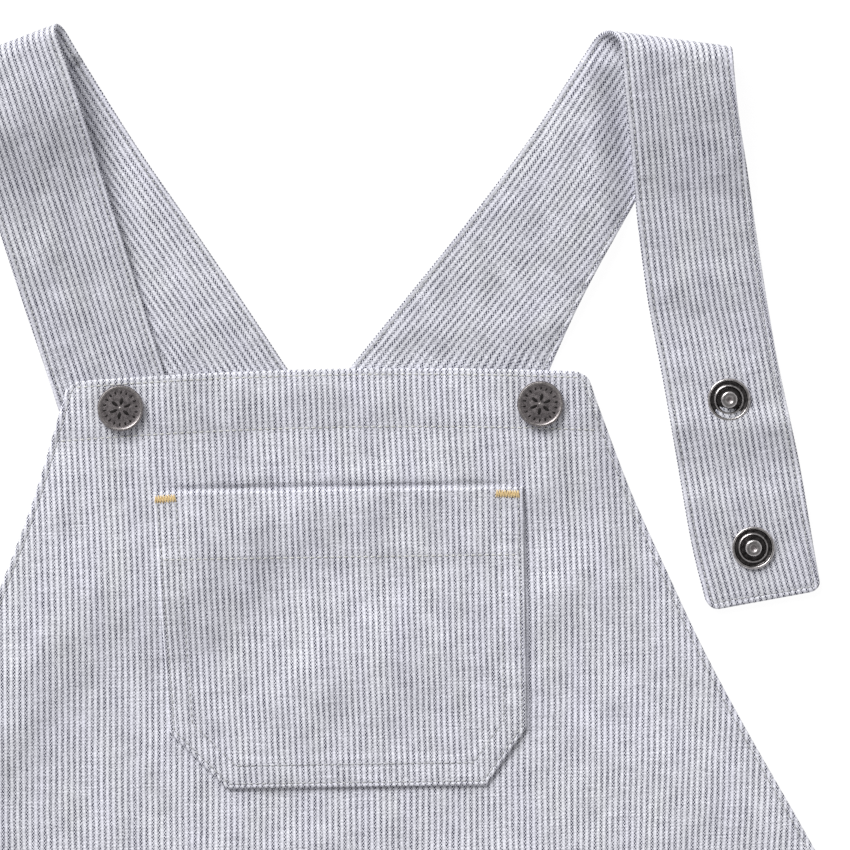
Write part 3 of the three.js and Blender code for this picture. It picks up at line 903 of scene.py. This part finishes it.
def hem_edge_levels():
    return [HEM + step for step in reversed(EDGE_STEPS[:-1])]


def leg_levels():
    arch = CROTCH - np.array(CROTCH_ROWS)
    line = HEM + HEM_BAND - np.array(HEM_LINE_ROWS)
    return np.concatenate([
        arch, spaced(arch[-1], HEM + HEM_BAND + 1.8, LEG_STEP), line,
        spaced(line[-1], HEM + EDGE_STEPS[-1], HEM_STEP), hem_edge_levels(),
    ])


def add_rows(surfaces, grain_of, rows, points):
    """Adds a row of points for each level to the lists of tops, undersides and grain."""
    for level, places in rows:
        y, low, high = surfaces(places, np.full(len(places), float(level)))
        y = np.broadcast_to(y, places.shape)
        points["high"].append(columns(places, y, high))
        points["low"].append(columns(places, y, np.broadcast_to(low, places.shape)))
        points["grain"].append(columns(*grain_of(places, y)))


def panel(name, node, surfaces, grain_of, half, inseam, slant, body, legs):
    """A body panel with two legs: half widths and the legs' gap are functions of the level."""
    points = {"high": [], "low": [], "grain": []}
    rows = []
    for level in body:
        right = edge_places(0, float(half(level)), HALF_CELLS, round_start=False, scale=float(slant(level)))
        rows.append((level, np.concatenate([-right[::-1], right[1:]])))
    add_rows(surfaces, grain_of, rows, points)
    width = 2 * HALF_CELLS + 1
    cells = [grid_cells((row - 1) * width, row * width, 2 * HALF_CELLS) for row in range(1, len(rows))]
    count = len(rows) * width
    for side in (-1, 1):
        above = (len(rows) - 1) * width + (HALF_CELLS if side > 0 else 0)
        leg_rows = []
        for level in legs:
            gap = float(inseam(level))
            ramp = min(1, gap / 10)
            places = edge_places(gap, float(half(level)), HALF_CELLS, scale=ramp)
            leg_rows.append((level, places if side > 0 else -places[::-1]))
            cells.append(grid_cells(above, count, HALF_CELLS))
            above = count
            count += HALF_CELLS + 1
        add_rows(surfaces, grain_of, leg_rows, points)
    high, low, grain = (np.concatenate(points[key]) for key in ("high", "low", "grain"))
    return cloth_piece(name, high, low, np.concatenate(cells), grain, node, [twill_cloth])


def front_grain(x, y):
    return x + grain_shift(x, y), y


def front_path(x, level):
    y, _, top = front_surfaces(x, level)
    return columns(x, y, top + STITCH_LIFT)


def make_front():
    front = panel(
        "front_cloth", "front", front_surfaces, front_grain, front_half, front_inseam,
        front_slant, front_levels(), leg_levels(),
    )
    parts = []
    pale_parts = []
    down = np.arange(TOP - STITCH_IN, 1, -1.0)
    for side in (-1, 1):
        edge = side * (front_half(down) - STITCH_IN * front_slant(down))
        parts += stitch_parts(front_path(edge, down))
        across = side * np.arange(front_inseam(HEM) + 1.5, front_half(HEM) - 1, 1.0)
        hem = front_path(across, np.full_like(across, HEM + HEM_BAND - 1))
        parts += stitch_parts(hem)
    for level in (TOP - STITCH_IN, BAND_LINE + 1):
        reach = front_half(level) - 3
        across = np.arange(-reach, reach, 1.0)
        path = front_path(across, np.full_like(across, level))
        pale_parts += stitch_parts(path, hole_shade_radius=PALE_HOLE_SHADE)
    thread_piece("front_stitches", parts)
    thread_piece("band_stitches", pale_parts, [pale_thread, needle_hole_shade])


def back_inseam(level):
    return read_table(BACK_INSEAM, "y", "half", level)


def back_surfaces(x, level):
    """The back's y, underside and top: it is flat under the front, with rounded edges."""
    outer = back_half(level) - np.abs(x)
    inner = np.where(level < BACK_CROTCH, np.abs(x) - back_inseam(level), FAR)
    edge = np.minimum(np.minimum(outer, inner), np.minimum(BACK_TOP - level, level - HEM))
    top = (CLOTH - 0.05) * (0.3 + 0.7 * rounded(edge))
    folds = folds_of_body(x + back_shift(level), level)
    rise = BACK_SHARE * np.maximum(folds, 0) * smooth((edge - 1.5) / 12)
    return level, rise, rise + top


def back_grain(x, y):
    return x + BACK_GRAIN, y


def make_back():
    top = [BACK_TOP - step for step in EDGE_STEPS]
    body = [top, spaced(top[-1], 0, BACK_BIB_STEP), spaced(0, BACK_CROTCH, BACK_BODY_STEP)]
    arch = BACK_CROTCH - np.array(BACK_CROTCH_ROWS)
    legs = [arch, spaced(arch[-1], HEM + EDGE_STEPS[-1], BACK_LEG_STEP), hem_edge_levels()]
    back = panel(
        "back_cloth", "back", back_surfaces, back_grain, back_half, back_inseam,
        lambda level: 1.0, np.concatenate(body), np.concatenate(legs),
    )
    mesh = back.data
    places = np.empty(len(mesh.vertices) * 3)
    mesh.vertices.foreach_get("co", places)
    places = places.reshape(-1, 3)
    places[:, 0] += back_shift(places[:, 1] / MM) * MM
    mesh.vertices.foreach_set("co", places.ravel())
    mesh.update()


def pocket_edges(across, down):
    """Distance in from the pocket's sides, its cut corners and its bottom."""
    nearest = np.full(np.broadcast(across, down).shape, FAR)
    for (ax, ay), (bx, by) in zip(POCKET_CORNERS, POCKET_CORNERS[1:]):
        length = hypot(bx - ax, by - ay)
        inside = ((across - ax) * (by - ay) - (down - ay) * (bx - ax)) / length
        nearest = np.minimum(nearest, inside)
    return nearest


def front_level(x, y):
    return y + level_drop(x, y + level_drop(x, y))


def pocket_place(across, down):
    """The pocket's place in the frame, with its underside and its top."""
    x = POCKET_MOUTH["x"] + across + down * POCKET_MOUTH["lean"]
    y = POCKET_MOUTH["y"] - down - across * POCKET_MOUTH["fall"]
    ground = front_surfaces(x, front_level(x, y))[2]
    edge = pocket_edges(across, down)
    spread = np.clip((across + POCKET_HALF) / (2 * POCKET_HALF), 0, 1)
    bulge = POCKET_BULGE * np.sin(pi * spread) ** 2 * (1 - smooth(down / POCKET_BULGE_REACH))
    loose = POCKET_LOOSE["high"] * smooth((across - POCKET_LOOSE["beyond"]) / 8) * smooth(down / 8)
    loose = loose * (1 - smooth((down - POCKET_LOOSE["until"]) / 14))
    low = ground + 0.08 + 0.45 * smooth((edge - 3) / 12) + bulge + loose
    low = low + ridges(POCKET_RIPPLES, across, down)
    doubled = POCKET_HEM_RISE * (1 - smooth((down - POCKET_HEM + 2.5) / 6))
    turned_in = POCKET_TURNED_IN * (1 - smooth((edge - 8.6) / 1.2)) * smooth((down - POCKET_HEM + 4) / 4)
    thick = (CLOTH + doubled) * (0.45 + 0.55 * rounded(np.minimum(edge, down))) + turned_in
    for inset in POCKET_ROWS_OF_STITCHES:
        thick = thick - groove(edge - inset)
    thick = thick - FAINT_GROOVE * groove(down - POCKET_HEM_STITCHES)
    along = np.where(np.abs(across) > 40, down, across)
    thick = thick + 0.09 * ripple(along, 5.3) * bell(edge - 4.4, 3.6)
    thick = thick + 0.08 * ripple(across, 0.7) * bell(down - POCKET_HEM, 3.4)
    return x, y, low, low + np.maximum(thick, LEAST_POCKET)


def pocket_reach(down):
    """The pocket's left and right edges at a distance down from its mouth."""
    corner_x = [corner[0] for corner in POCKET_CORNERS]
    corner_y = [corner[1] for corner in POCKET_CORNERS]
    return np.interp(down, corner_y[:3], corner_x[:3]), np.interp(down, corner_y[:2:-1], corner_x[:2:-1])


def inset_corners(distance):
    """The pocket's outline moved in from its sides and its bottom, ending at the mouth."""
    lines = []
    for (ax, ay), (bx, by) in zip(POCKET_CORNERS, POCKET_CORNERS[1:]):
        length = hypot(bx - ax, by - ay)
        shift = np.array([(by - ay) / length, -(bx - ax) / length]) * distance
        lines.append((np.array([ax, ay]) + shift, np.array([bx - ax, by - ay]) / length))
    corners = []
    for (point, way), (next_point, next_way) in zip(lines, lines[1:]):
        steps = np.linalg.solve(np.stack([way, -next_way], axis=1), next_point - point)
        corners.append(point + way * steps[0])
    (first, first_way), (last, last_way) = lines[0], lines[-1]
    mouth_start = first - first_way * (first[1] - STITCH_START) / first_way[1]
    mouth_end = last - last_way * (last[1] - STITCH_START) / last_way[1]
    return [mouth_start, *corners, mouth_end]


def even_path(corners, step=1.0):
    corners = np.array(corners)
    total = lengths_along(corners)[-1]
    return along_path(corners, corners, np.arange(0, total, step))


def pocket_path(flat_path):
    x, y, _, top = pocket_place(flat_path[:, 0], flat_path[:, 1])
    return columns(x, y, top + STITCH_LIFT)


# Cells across the pocket, how far apart its rows are, and its rows round the hem's stitches and at the bottom
POCKET_CELLS = 92
POCKET_STEP = 1.3
POCKET_LINE_ROWS = [-1.4, -1, -0.6, -0.2, 0.2, 0.6, 1.1]
POCKET_END_ROWS = [3.9, 3, 2.2, 1.5, 0.9, 0.45, 0.18, 0]


def make_pocket():
    line = POCKET_HEM + np.array(POCKET_LINE_ROWS)
    downs = np.concatenate([
        EDGE_STEPS, spaced(EDGE_STEPS[-1], POCKET_HEM - 1.8, POCKET_STEP), line,
        spaced(line[-1], POCKET_DEPTH - EDGE_STEPS[-1], POCKET_STEP),
        POCKET_DEPTH - np.array(POCKET_END_ROWS),
    ])
    high = []
    low = []
    grain = []
    for down in downs:
        left, right = pocket_reach(down)
        across = edge_places(float(left), float(right), POCKET_CELLS)
        x, y, under, over = pocket_place(across, np.full_like(across, down))
        high.append(columns(x, y, over))
        low.append(columns(x, y, under))
        grain.append(columns(across * (1 + POCKET_TAPER * down) + POCKET_GRAIN * down + 0.9, y))
    width = POCKET_CELLS + 1
    cells = [grid_cells((row - 1) * width, row * width, POCKET_CELLS) for row in range(1, len(downs))]
    pocket = cloth_piece(
        "pocket_cloth", np.concatenate(high), np.concatenate(low), np.concatenate(cells),
        np.concatenate(grain), "pocket", [twill_cloth],
    )

    parts = []
    for inset in POCKET_ROWS_OF_STITCHES:
        path = pocket_path(even_path(inset_corners(inset)))
        parts += stitch_parts(path)
    hem_line = np.arange(-POCKET_HEM_REACH, POCKET_HEM_REACH, 1.0)
    path = pocket_path(columns(hem_line, np.full_like(hem_line, POCKET_HEM_STITCHES)))
    hem_parts = stitch_parts(path, hole_shade_radius=PALE_HOLE_SHADE)
    thread_piece("pocket_stitches", parts)
    thread_piece("pocket_hem_stitches", hem_parts, [pale_thread, needle_hole_shade])


# Bar tacks at the ends of the pocket's mouth: both ends, across and down from the middle of the mouth
BARTACKS = [[(-59.2, 2.5), (-52.9, 2.1)], [(51.4, 2.1), (58.9, 2.4)]]
BARTACK_HALF = 1.2
BARTACK_PITCH = 0.42
BARTACK_TILT = 0.2
BARTACK_LIFT = 0.16


def make_bartacks():
    parts = []
    for start, end in BARTACKS:
        start = np.array(start)
        end = np.array(end)
        length = np.linalg.norm(end - start)
        way = (end - start) / length
        side = np.array([-way[1], way[0]])
        for k in range(int(length / BARTACK_PITCH) + 1):
            middle = start + way * k * BARTACK_PITCH
            tilt = way * BARTACK_TILT * (1 if k % 2 else -1)
            half = BARTACK_HALF * (1 + 0.14 * float(ripple(2.3 * k, end[0])))
            flat = np.array([middle - side * half - tilt, middle, middle + side * half + tilt])
            path = pocket_path(flat) + np.array([0, 0, BARTACK_LIFT])
            parts.append(stitch_parts(path, pitch=9, length=2 * half + 0.2)[0])
    thread_piece("pocket_bartacks", parts, [amber_thread])


def strap_lines(strap):
    """Both edges of a strap's middle surface, from under the bib, over the fold and down its front."""
    stretches = []
    for name in ("back", "front"):
        table = strap[name]
        middle_x = (np.array(table["left_x"]) + table["right_x"]) / 2
        middle_y = (np.array(table["left_y"]) + table["right_y"]) / 2
        table = dict(table, place=lengths_along(columns(middle_x, middle_y)))
        total = table["place"][-1]
        places = np.arange(0, total - EDGE_STEPS[-1], STRAP_STEP)
        if name == "front":
            places = np.concatenate([places, [total - step for step in reversed(EDGE_STEPS)]])
        else:
            places = np.append(places, total)
        edges = [
            [read_table(table, "place", edge + axis, places) for axis in ("_x", "_y")]
            for edge in ("left", "right")
        ]
        height = read_table(strap["rise"][name], "y", "low", (edges[0][1] + edges[1][1]) / 2) + STRAP / 2
        stretches.append([columns(*edge, height) for edge in edges])
    share = np.arange(1, FOLD_STEPS)[:, None] / FOLD_STEPS
    lines = []
    for back, front, reach in zip(*stretches, strap["reach"]):
        rest = 1 - share
        leave = unit(back[-1] - back[-3]) * reach
        arrive = unit(front[2] - front[0]) * reach
        fold = back[-1] * rest**2 * (1 + 2 * share) + front[0] * share**2 * (1 + 2 * rest)
        fold = fold + leave * share * rest**2 - arrive * rest * share**2
        turn = (1 - np.cos(pi * share[:, 0])) / 2
        fold[:, 2] = back[-1][2] + (front[0][2] - back[-1][2]) * turn
        lines.append(np.concatenate([back, fold, front]))
    for line in lines:
        nearer = line[:, 2:] / SEEN_FROM
        line[:, :2] += (np.array(SEEN_CENTRE) - line[:, :2]) * nearer
    return lines


def lay_strap(strap, middle, travel, fold_at):
    """Lays a strap's back down where its front covers it, and lifts it beside the front."""
    near = strap["inner"]
    way = 1 if near == "left" else -1
    front_edge = read_table(strap["front"], near + "_y", near + "_x", middle[:, :, 1])
    beside = smooth(way * (front_edge - middle[:, :, 0]) / BESIDE_STRAP)
    near_fold = smooth((middle[:, :, 1] - TILT_FROM) / TILT_OVER)
    near_fold = near_fold * smooth((fold_at - 4 - travel) / FOLD_CLEAR)[:, None]
    loose = middle[:, :, 2] - STRAP / 2 + strap["tilt"] * near_fold
    below = travel < fold_at - FOLD_CLEAR
    middle[below, :, 2] = STRAP / 2 + (loose * beside)[below]


def strap_grain(strap, inner, outer, travel, shares, fold_row):
    """The stripes' map on a strap: across from its inner edge, and down along it."""
    inner_way = unit(np.gradient(inner, axis=0))
    reach = outer - inner
    slide = np.sum(reach * inner_way, axis=1)
    span = np.linalg.norm(reach - slide[:, None] * inner_way, axis=1)
    turning = np.abs(np.arange(len(travel)) - fold_row) < FOLD_STEPS
    slide[turning] = np.interp(travel[turning], travel[~turning], slide[~turning])
    span[turning] = np.interp(travel[turning], travel[~turning], span[~turning])
    way = 1 if strap["inner"] == "left" else -1
    share_in = shares if way == 1 else 1 - shares
    down = travel[:, None] + share_in * slide[:, None]
    if strap["mirrored"]:
        down = np.abs(down - travel[fold_row])
    return np.stack([way * (share_in * span[:, None] + 1.05), -down], axis=2)


def round_strap(rows):
    """Values along a strap's stitches: down one edge, across its free end and up the other edge."""
    inset = EDGE_STEPS.index(STITCH_IN)
    last = len(rows) - 1 - inset
    far = rows.shape[1] - 1 - inset
    return np.concatenate([rows[:last, inset], rows[last, inset:far + 1], rows[:last, far][::-1]])


def make_strap(side, strap, studs):
    left, right = strap_lines(strap)
    inner, outer = (left, right) if strap["inner"] == "left" else (right, left)
    travel = lengths_along(inner)
    to_end = lengths_along(((left + right) / 2)[::-1])[::-1]
    corner = np.clip(STRAP_CORNER - to_end, 0, STRAP_CORNER)
    pull = STRAP_CORNER - np.sqrt(STRAP_CORNER**2 - corner**2)

    width = np.linalg.norm(right - left, axis=1)
    shares = np.array([edge_places(p, w - p, STRAP_CELLS) / w for w, p in zip(width, pull)])
    middle = left[:, None] + (right - left)[:, None] * shares[:, :, None]
    edge = np.minimum(shares * width[:, None], (1 - shares) * width[:, None]) - pull[:, None]
    lift = 0.25 + 0.3 * ripple(travel / 9, 0.9 + len(side))[:, None]
    lift = lift + STRAP_CRUMPLE * crumple(middle[:, :, 0] * 1.3 + 40, middle[:, :, 1] * 1.3)
    free_ends = smooth(travel / 20)[:, None] * smooth(to_end / 20)[:, None]
    middle[:, :, 2] += np.maximum(lift, 0) * smooth((edge - 1) / 8) * free_ends
    fold_row = int(np.argmax(middle[:, 0, 1]))
    lay_strap(strap, middle, travel, travel[fold_row])
    normal = unit(np.cross(np.gradient(middle, axis=1), np.gradient(middle, axis=0)))

    rim = np.minimum(edge, to_end[:, None])
    sunk = STRAP / 2 * (0.3 + 0.7 * rounded(rim)) + 0.07 * bell(rim - 1, 0.5)
    sunk = sunk + 0.09 * ripple(travel[:, None] + 30 * shares, 1.9) * bell(edge - STITCH_IN, 2.8)
    sunk = sunk - groove(rim - STITCH_IN)
    facing = normal[:, :, 2] < 0
    for stud in studs:
        sunk = sunk + snap_puckers(middle[:, :, 0], middle[:, :, 1], stud, STUD_PUCKERS) * facing
    high = middle + normal * sunk[:, :, None]
    low = middle - normal * sunk[:, :, None]
    high[:, :, 2] = np.maximum(high[:, :, 2], 0)
    low[:, :, 2] = np.maximum(low[:, :, 2], 0)

    grain = strap_grain(strap, inner, outer, travel, shares, fold_row)
    rows, across = shares.shape
    cells = [grid_cells(row * across, (row - 1) * across, across - 1) for row in range(1, rows)]
    # The strap's underside takes the darker copy of the twill: painted shade where it faces up past the fold.
    piece = cloth_piece(
        f"strap_{side}_cloth", high.reshape(-1, 3), low.reshape(-1, 3), np.concatenate(cells),
        grain.reshape(-1, 2), f"strap_{side}", [twill_cloth, twill_painted_shade],
    )
    parts = []
    for face, way in ((high, 1), (low, -1)):
        up = way * round_strap(normal)
        parts += stitch_parts(round_strap(face) + up * STITCH_LIFT, up)
    thread_piece(f"strap_{side}_stitches", parts)


# Snap sections, each as radius and height
CAP_SECTION = [
    (0, -0.28), (6.9, -0.28), (7.3, -0.1), (7.5, 0.3), (7.5, 0.9), (7.46, 1.25), (7.34, 1.55),
    (7.16, 1.72), (6.95, 1.79), (6.74, 1.76), (6.58, 1.64), (6.5, 1.5), (6.3, 1.44), (5, 1.5),
    (3, 1.56), (0, 1.6),
]
CAP_RIM_ROWS = range(7, 10)
STUD_SECTION = [
    (0, -0.32), (6.2, -0.32), (6.7, -0.15), (6.98, 0.1), (7, 0.38), (6.9, 0.66), (6.66, 0.84),
    (6.4, 0.88), (6.15, 0.76), (5.95, 0.52), (5.75, 0.38), (5.2, 0.32), (4.9, 0.36), (4.72, 0.52),
    (4.5, 0.66), (4.28, 0.62), (4.1, 0.42), (3.8, 0.3), (2.7, 0.3), (2.35, 0.45), (2.25, 1),
    (2.2, 1.7), (2.3, 2.15), (2.55, 2.45), (2.68, 2.7), (2.6, 2.95), (2.35, 3.14), (1.95, 3.22),
    (1.45, 3.2), (1.05, 3.06), (0.75, 2.86), (0.45, 2.78), (0, 2.76),
]
# Rows of the stud painted dark, as painted shade and dark reflection: the flange's inner slope, the dish, the
# inner ring's inner slope and the post's side
STUD_PAINTED_SHADE_ROWS = [*range(8, 13), *range(15, 23)]
STUD_HEAD_ROW = 29
ROUND_SIDES = 96

# Raised marks of the cap: how many, where the first is, start and end, half width, rise and seat
NOTCHES = {"count": 18, "first": 0.3, "span": (4.5, 5.8), "half": 0.36, "rise": 0.12, "seat": 1.45}
PETALS = {"count": 6, "first": 0.33, "span": (0.9, 3.6), "half": 0.62, "rise": 0.13, "seat": 1.52}
PETAL_RINGS = 7
PETAL_SIDES = 12
CAP_BOSS = [(0.6, 0), (0.5, 0.12), (0.3, 0.18), (0, 0.2)]
CAP_BOSS_SEAT = 1.55
CAP_BOSS_SIDES = 16


def petal_parts(centre, turn, start, end, half, rise):
    """A small raised petal that points away from the centre."""
    points = []
    for ring in range(PETAL_RINGS + 1):
        share = pi * ring / PETAL_RINGS
        reach = (start + end) / 2 - (end - start) / 2 * cos(share)
        for k in range(PETAL_SIDES):
            angle = 2 * pi * k / PETAL_SIDES
            across = half * sin(share) * cos(angle)
            height = rise * sin(share) * sin(angle)
            x = centre[0] + reach * cos(turn) - across * sin(turn)
            y = centre[1] + reach * sin(turn) + across * cos(turn)
            points.append((x, y, centre[2] + height))
    return points, tube_faces(PETAL_RINGS + 1, PETAL_SIDES)


def make_cap(side, centre, base):
    """A snap cap with a raised rim, a ring of notches and a six-petalled rosette."""
    points, faces = lathe_parts(CAP_SECTION, ROUND_SIDES, (*centre, base))
    on_rim = [face // ROUND_SIDES in CAP_RIM_ROWS for face in range(len(faces))]
    parts = [
        (points, [face for face, rim in zip(faces, on_rim) if not rim], 0),
        (points, [face for face, rim in zip(faces, on_rim) if rim], 1),
    ]
    for mark in (NOTCHES, PETALS):
        for k in range(mark["count"]):
            turn = 2 * pi * (k + mark["first"]) / mark["count"]
            seat = (*centre, base + mark["seat"])
            parts.append((*petal_parts(seat, turn, *mark["span"], mark["half"], mark["rise"]), 2))
    parts.append((*lathe_parts(CAP_BOSS, CAP_BOSS_SIDES, (*centre, base + CAP_BOSS_SEAT)), 1))
    all_points, all_faces, which = joined(parts)
    piece = new_mesh(f"cap_{side}_finish", all_points, all_faces, [pewter, worn_pewter, dark_pewter], which)
    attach(piece, "root")
    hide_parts(f"cap_{side}")


def make_stud(name, centre, base):
    """A snap stud with a rolled flange, a dish, an inner ring and a dimpled post; the dish, the slopes into
    it and the post's side are painted dark, as painted shade and painted dark reflection.
    """
    points, faces = lathe_parts(STUD_SECTION, ROUND_SIDES, (*centre, base))
    rows = [face // ROUND_SIDES for face in range(len(faces))]
    which = [1 if row in STUD_PAINTED_SHADE_ROWS else 2 if row >= STUD_HEAD_ROW else 0 for row in rows]
    piece = new_mesh(name + "_finish", points, faces, [gunmetal, gunmetal_painted_shade_and_reflection, pewter], which)
    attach(piece, "root")
    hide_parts(name)


# How high the strap lies under each open stud, and how far above the strap a stud's base is
UPPER_STUD_LOW = 1.2
LOWER_STUD_LOW = 0.8
STUD_SEAT = 0.36


def make_snaps():
    band_top = CLOTH + BAND + GAP
    make_cap("left", LEFT_CAP, LEFT_HILL["high"] + band_top)
    make_cap("right", RIGHT_CAP, RIGHT_HILL["high"] + band_top)
    make_stud("stud_right_upper", RIGHT_UPPER_STUD, UPPER_STUD_LOW + STRAP + STUD_SEAT)
    make_stud("stud_right_lower", RIGHT_LOWER_STUD, LOWER_STUD_LOW + STRAP + STUD_SEAT)
    for name in ("socket_left", "socket_right", "stud_left_upper", "stud_left_lower"):
        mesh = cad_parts[name].data
        mesh.materials.clear()
        mesh.materials.append(gunmetal)


FLOOR_REACH = 4000
FLOOR_LEVEL = -0.35
FLOOR_GLOW = 0.95
HORIZON_LIGHT = 0.9
ZENITH_LIGHT = 0.17
SUN_ENERGY = 3.05
SUN_SPREAD = 34
SUN_WAY = (0.5, -0.77, -0.67)
WHITE = (1, 1, 1, 1)


def make_floor():
    graph = Graph(bpy.data.materials.new("pale_floor"))
    mottle = graph.mix(graph.noise(graph.place(), 3.0), (0.07, 0.07, 0.07, 1), (0.08, 0.08, 0.08, 1))
    graph.finish(
        mottle, Roughness=0.9, Specular_IOR_Level=0.1, Emission_Color=WHITE, Emission_Strength=FLOOR_GLOW,
    )
    ways = [(-1, -1), (1, -1), (1, 1), (-1, 1)]
    corners = [(x * FLOOR_REACH, y * FLOOR_REACH, FLOOR_LEVEL) for x, y in ways]
    new_mesh("floor", corners, [[0, 1, 2, 3]], [graph.owner])


def make_lights():
    """A wide soft sun from the upper left, and a white surround that is dimmer straight above."""
    scene = bpy.context.scene
    graph = Graph(bpy.data.worlds.new("soft_white"))
    direction = graph.put("ShaderNodeTexCoord", {}).outputs["Generated"]
    height = graph.put("ShaderNodeSeparateXYZ", {0: direction}).outputs[2]
    ends = {"Value": height, "To Min": HORIZON_LIGHT, "To Max": ZENITH_LIGHT}
    background = graph.nodes["Background"]
    graph.feed(background.inputs["Strength"], graph.put("ShaderNodeMapRange", ends).outputs[0])
    graph.feed(background.inputs["Color"], WHITE)
    scene.world = graph.owner
    sun = bpy.data.lights.new("key", "SUN")
    sun.energy = SUN_ENERGY
    sun.angle = radians(SUN_SPREAD)
    sun_object = bpy.data.objects.new("key", sun)
    sun_object.rotation_euler = Vector(SUN_WAY).to_track_quat("-Z", "Y").to_euler()
    scene.collection.objects.link(sun_object)


def make_camera():
    """Straight above the bib and the straps, leaning a little as the garment lies in the picture."""
    camera = bpy.data.cameras.new("camera")
    camera.lens = LENS
    camera.sensor_width = SENSOR
    camera.clip_end = 100
    camera_object = bpy.data.objects.new("camera", camera)
    camera_object.location = (SEEN_CENTRE[0] * MM, SEEN_CENTRE[1] * MM, (SEEN_FROM + SEEN_LEVEL) * MM)
    camera_object.rotation_euler = (0, 0, radians(SEEN_TURN))
    bpy.context.scene.collection.objects.link(camera_object)
    bpy.context.scene.camera = camera_object


make_back()
make_strap("left", LEFT_STRAP, [])
make_strap("right", RIGHT_STRAP, [RIGHT_UPPER_STUD, RIGHT_LOWER_STUD])
make_front()
make_pocket()
make_bartacks()
make_snaps()
make_floor()
make_lights()
make_camera()
bpy.context.scene.view_settings.view_transform = "Standard"
bpy.context.scene.cycles.use_denoising = False
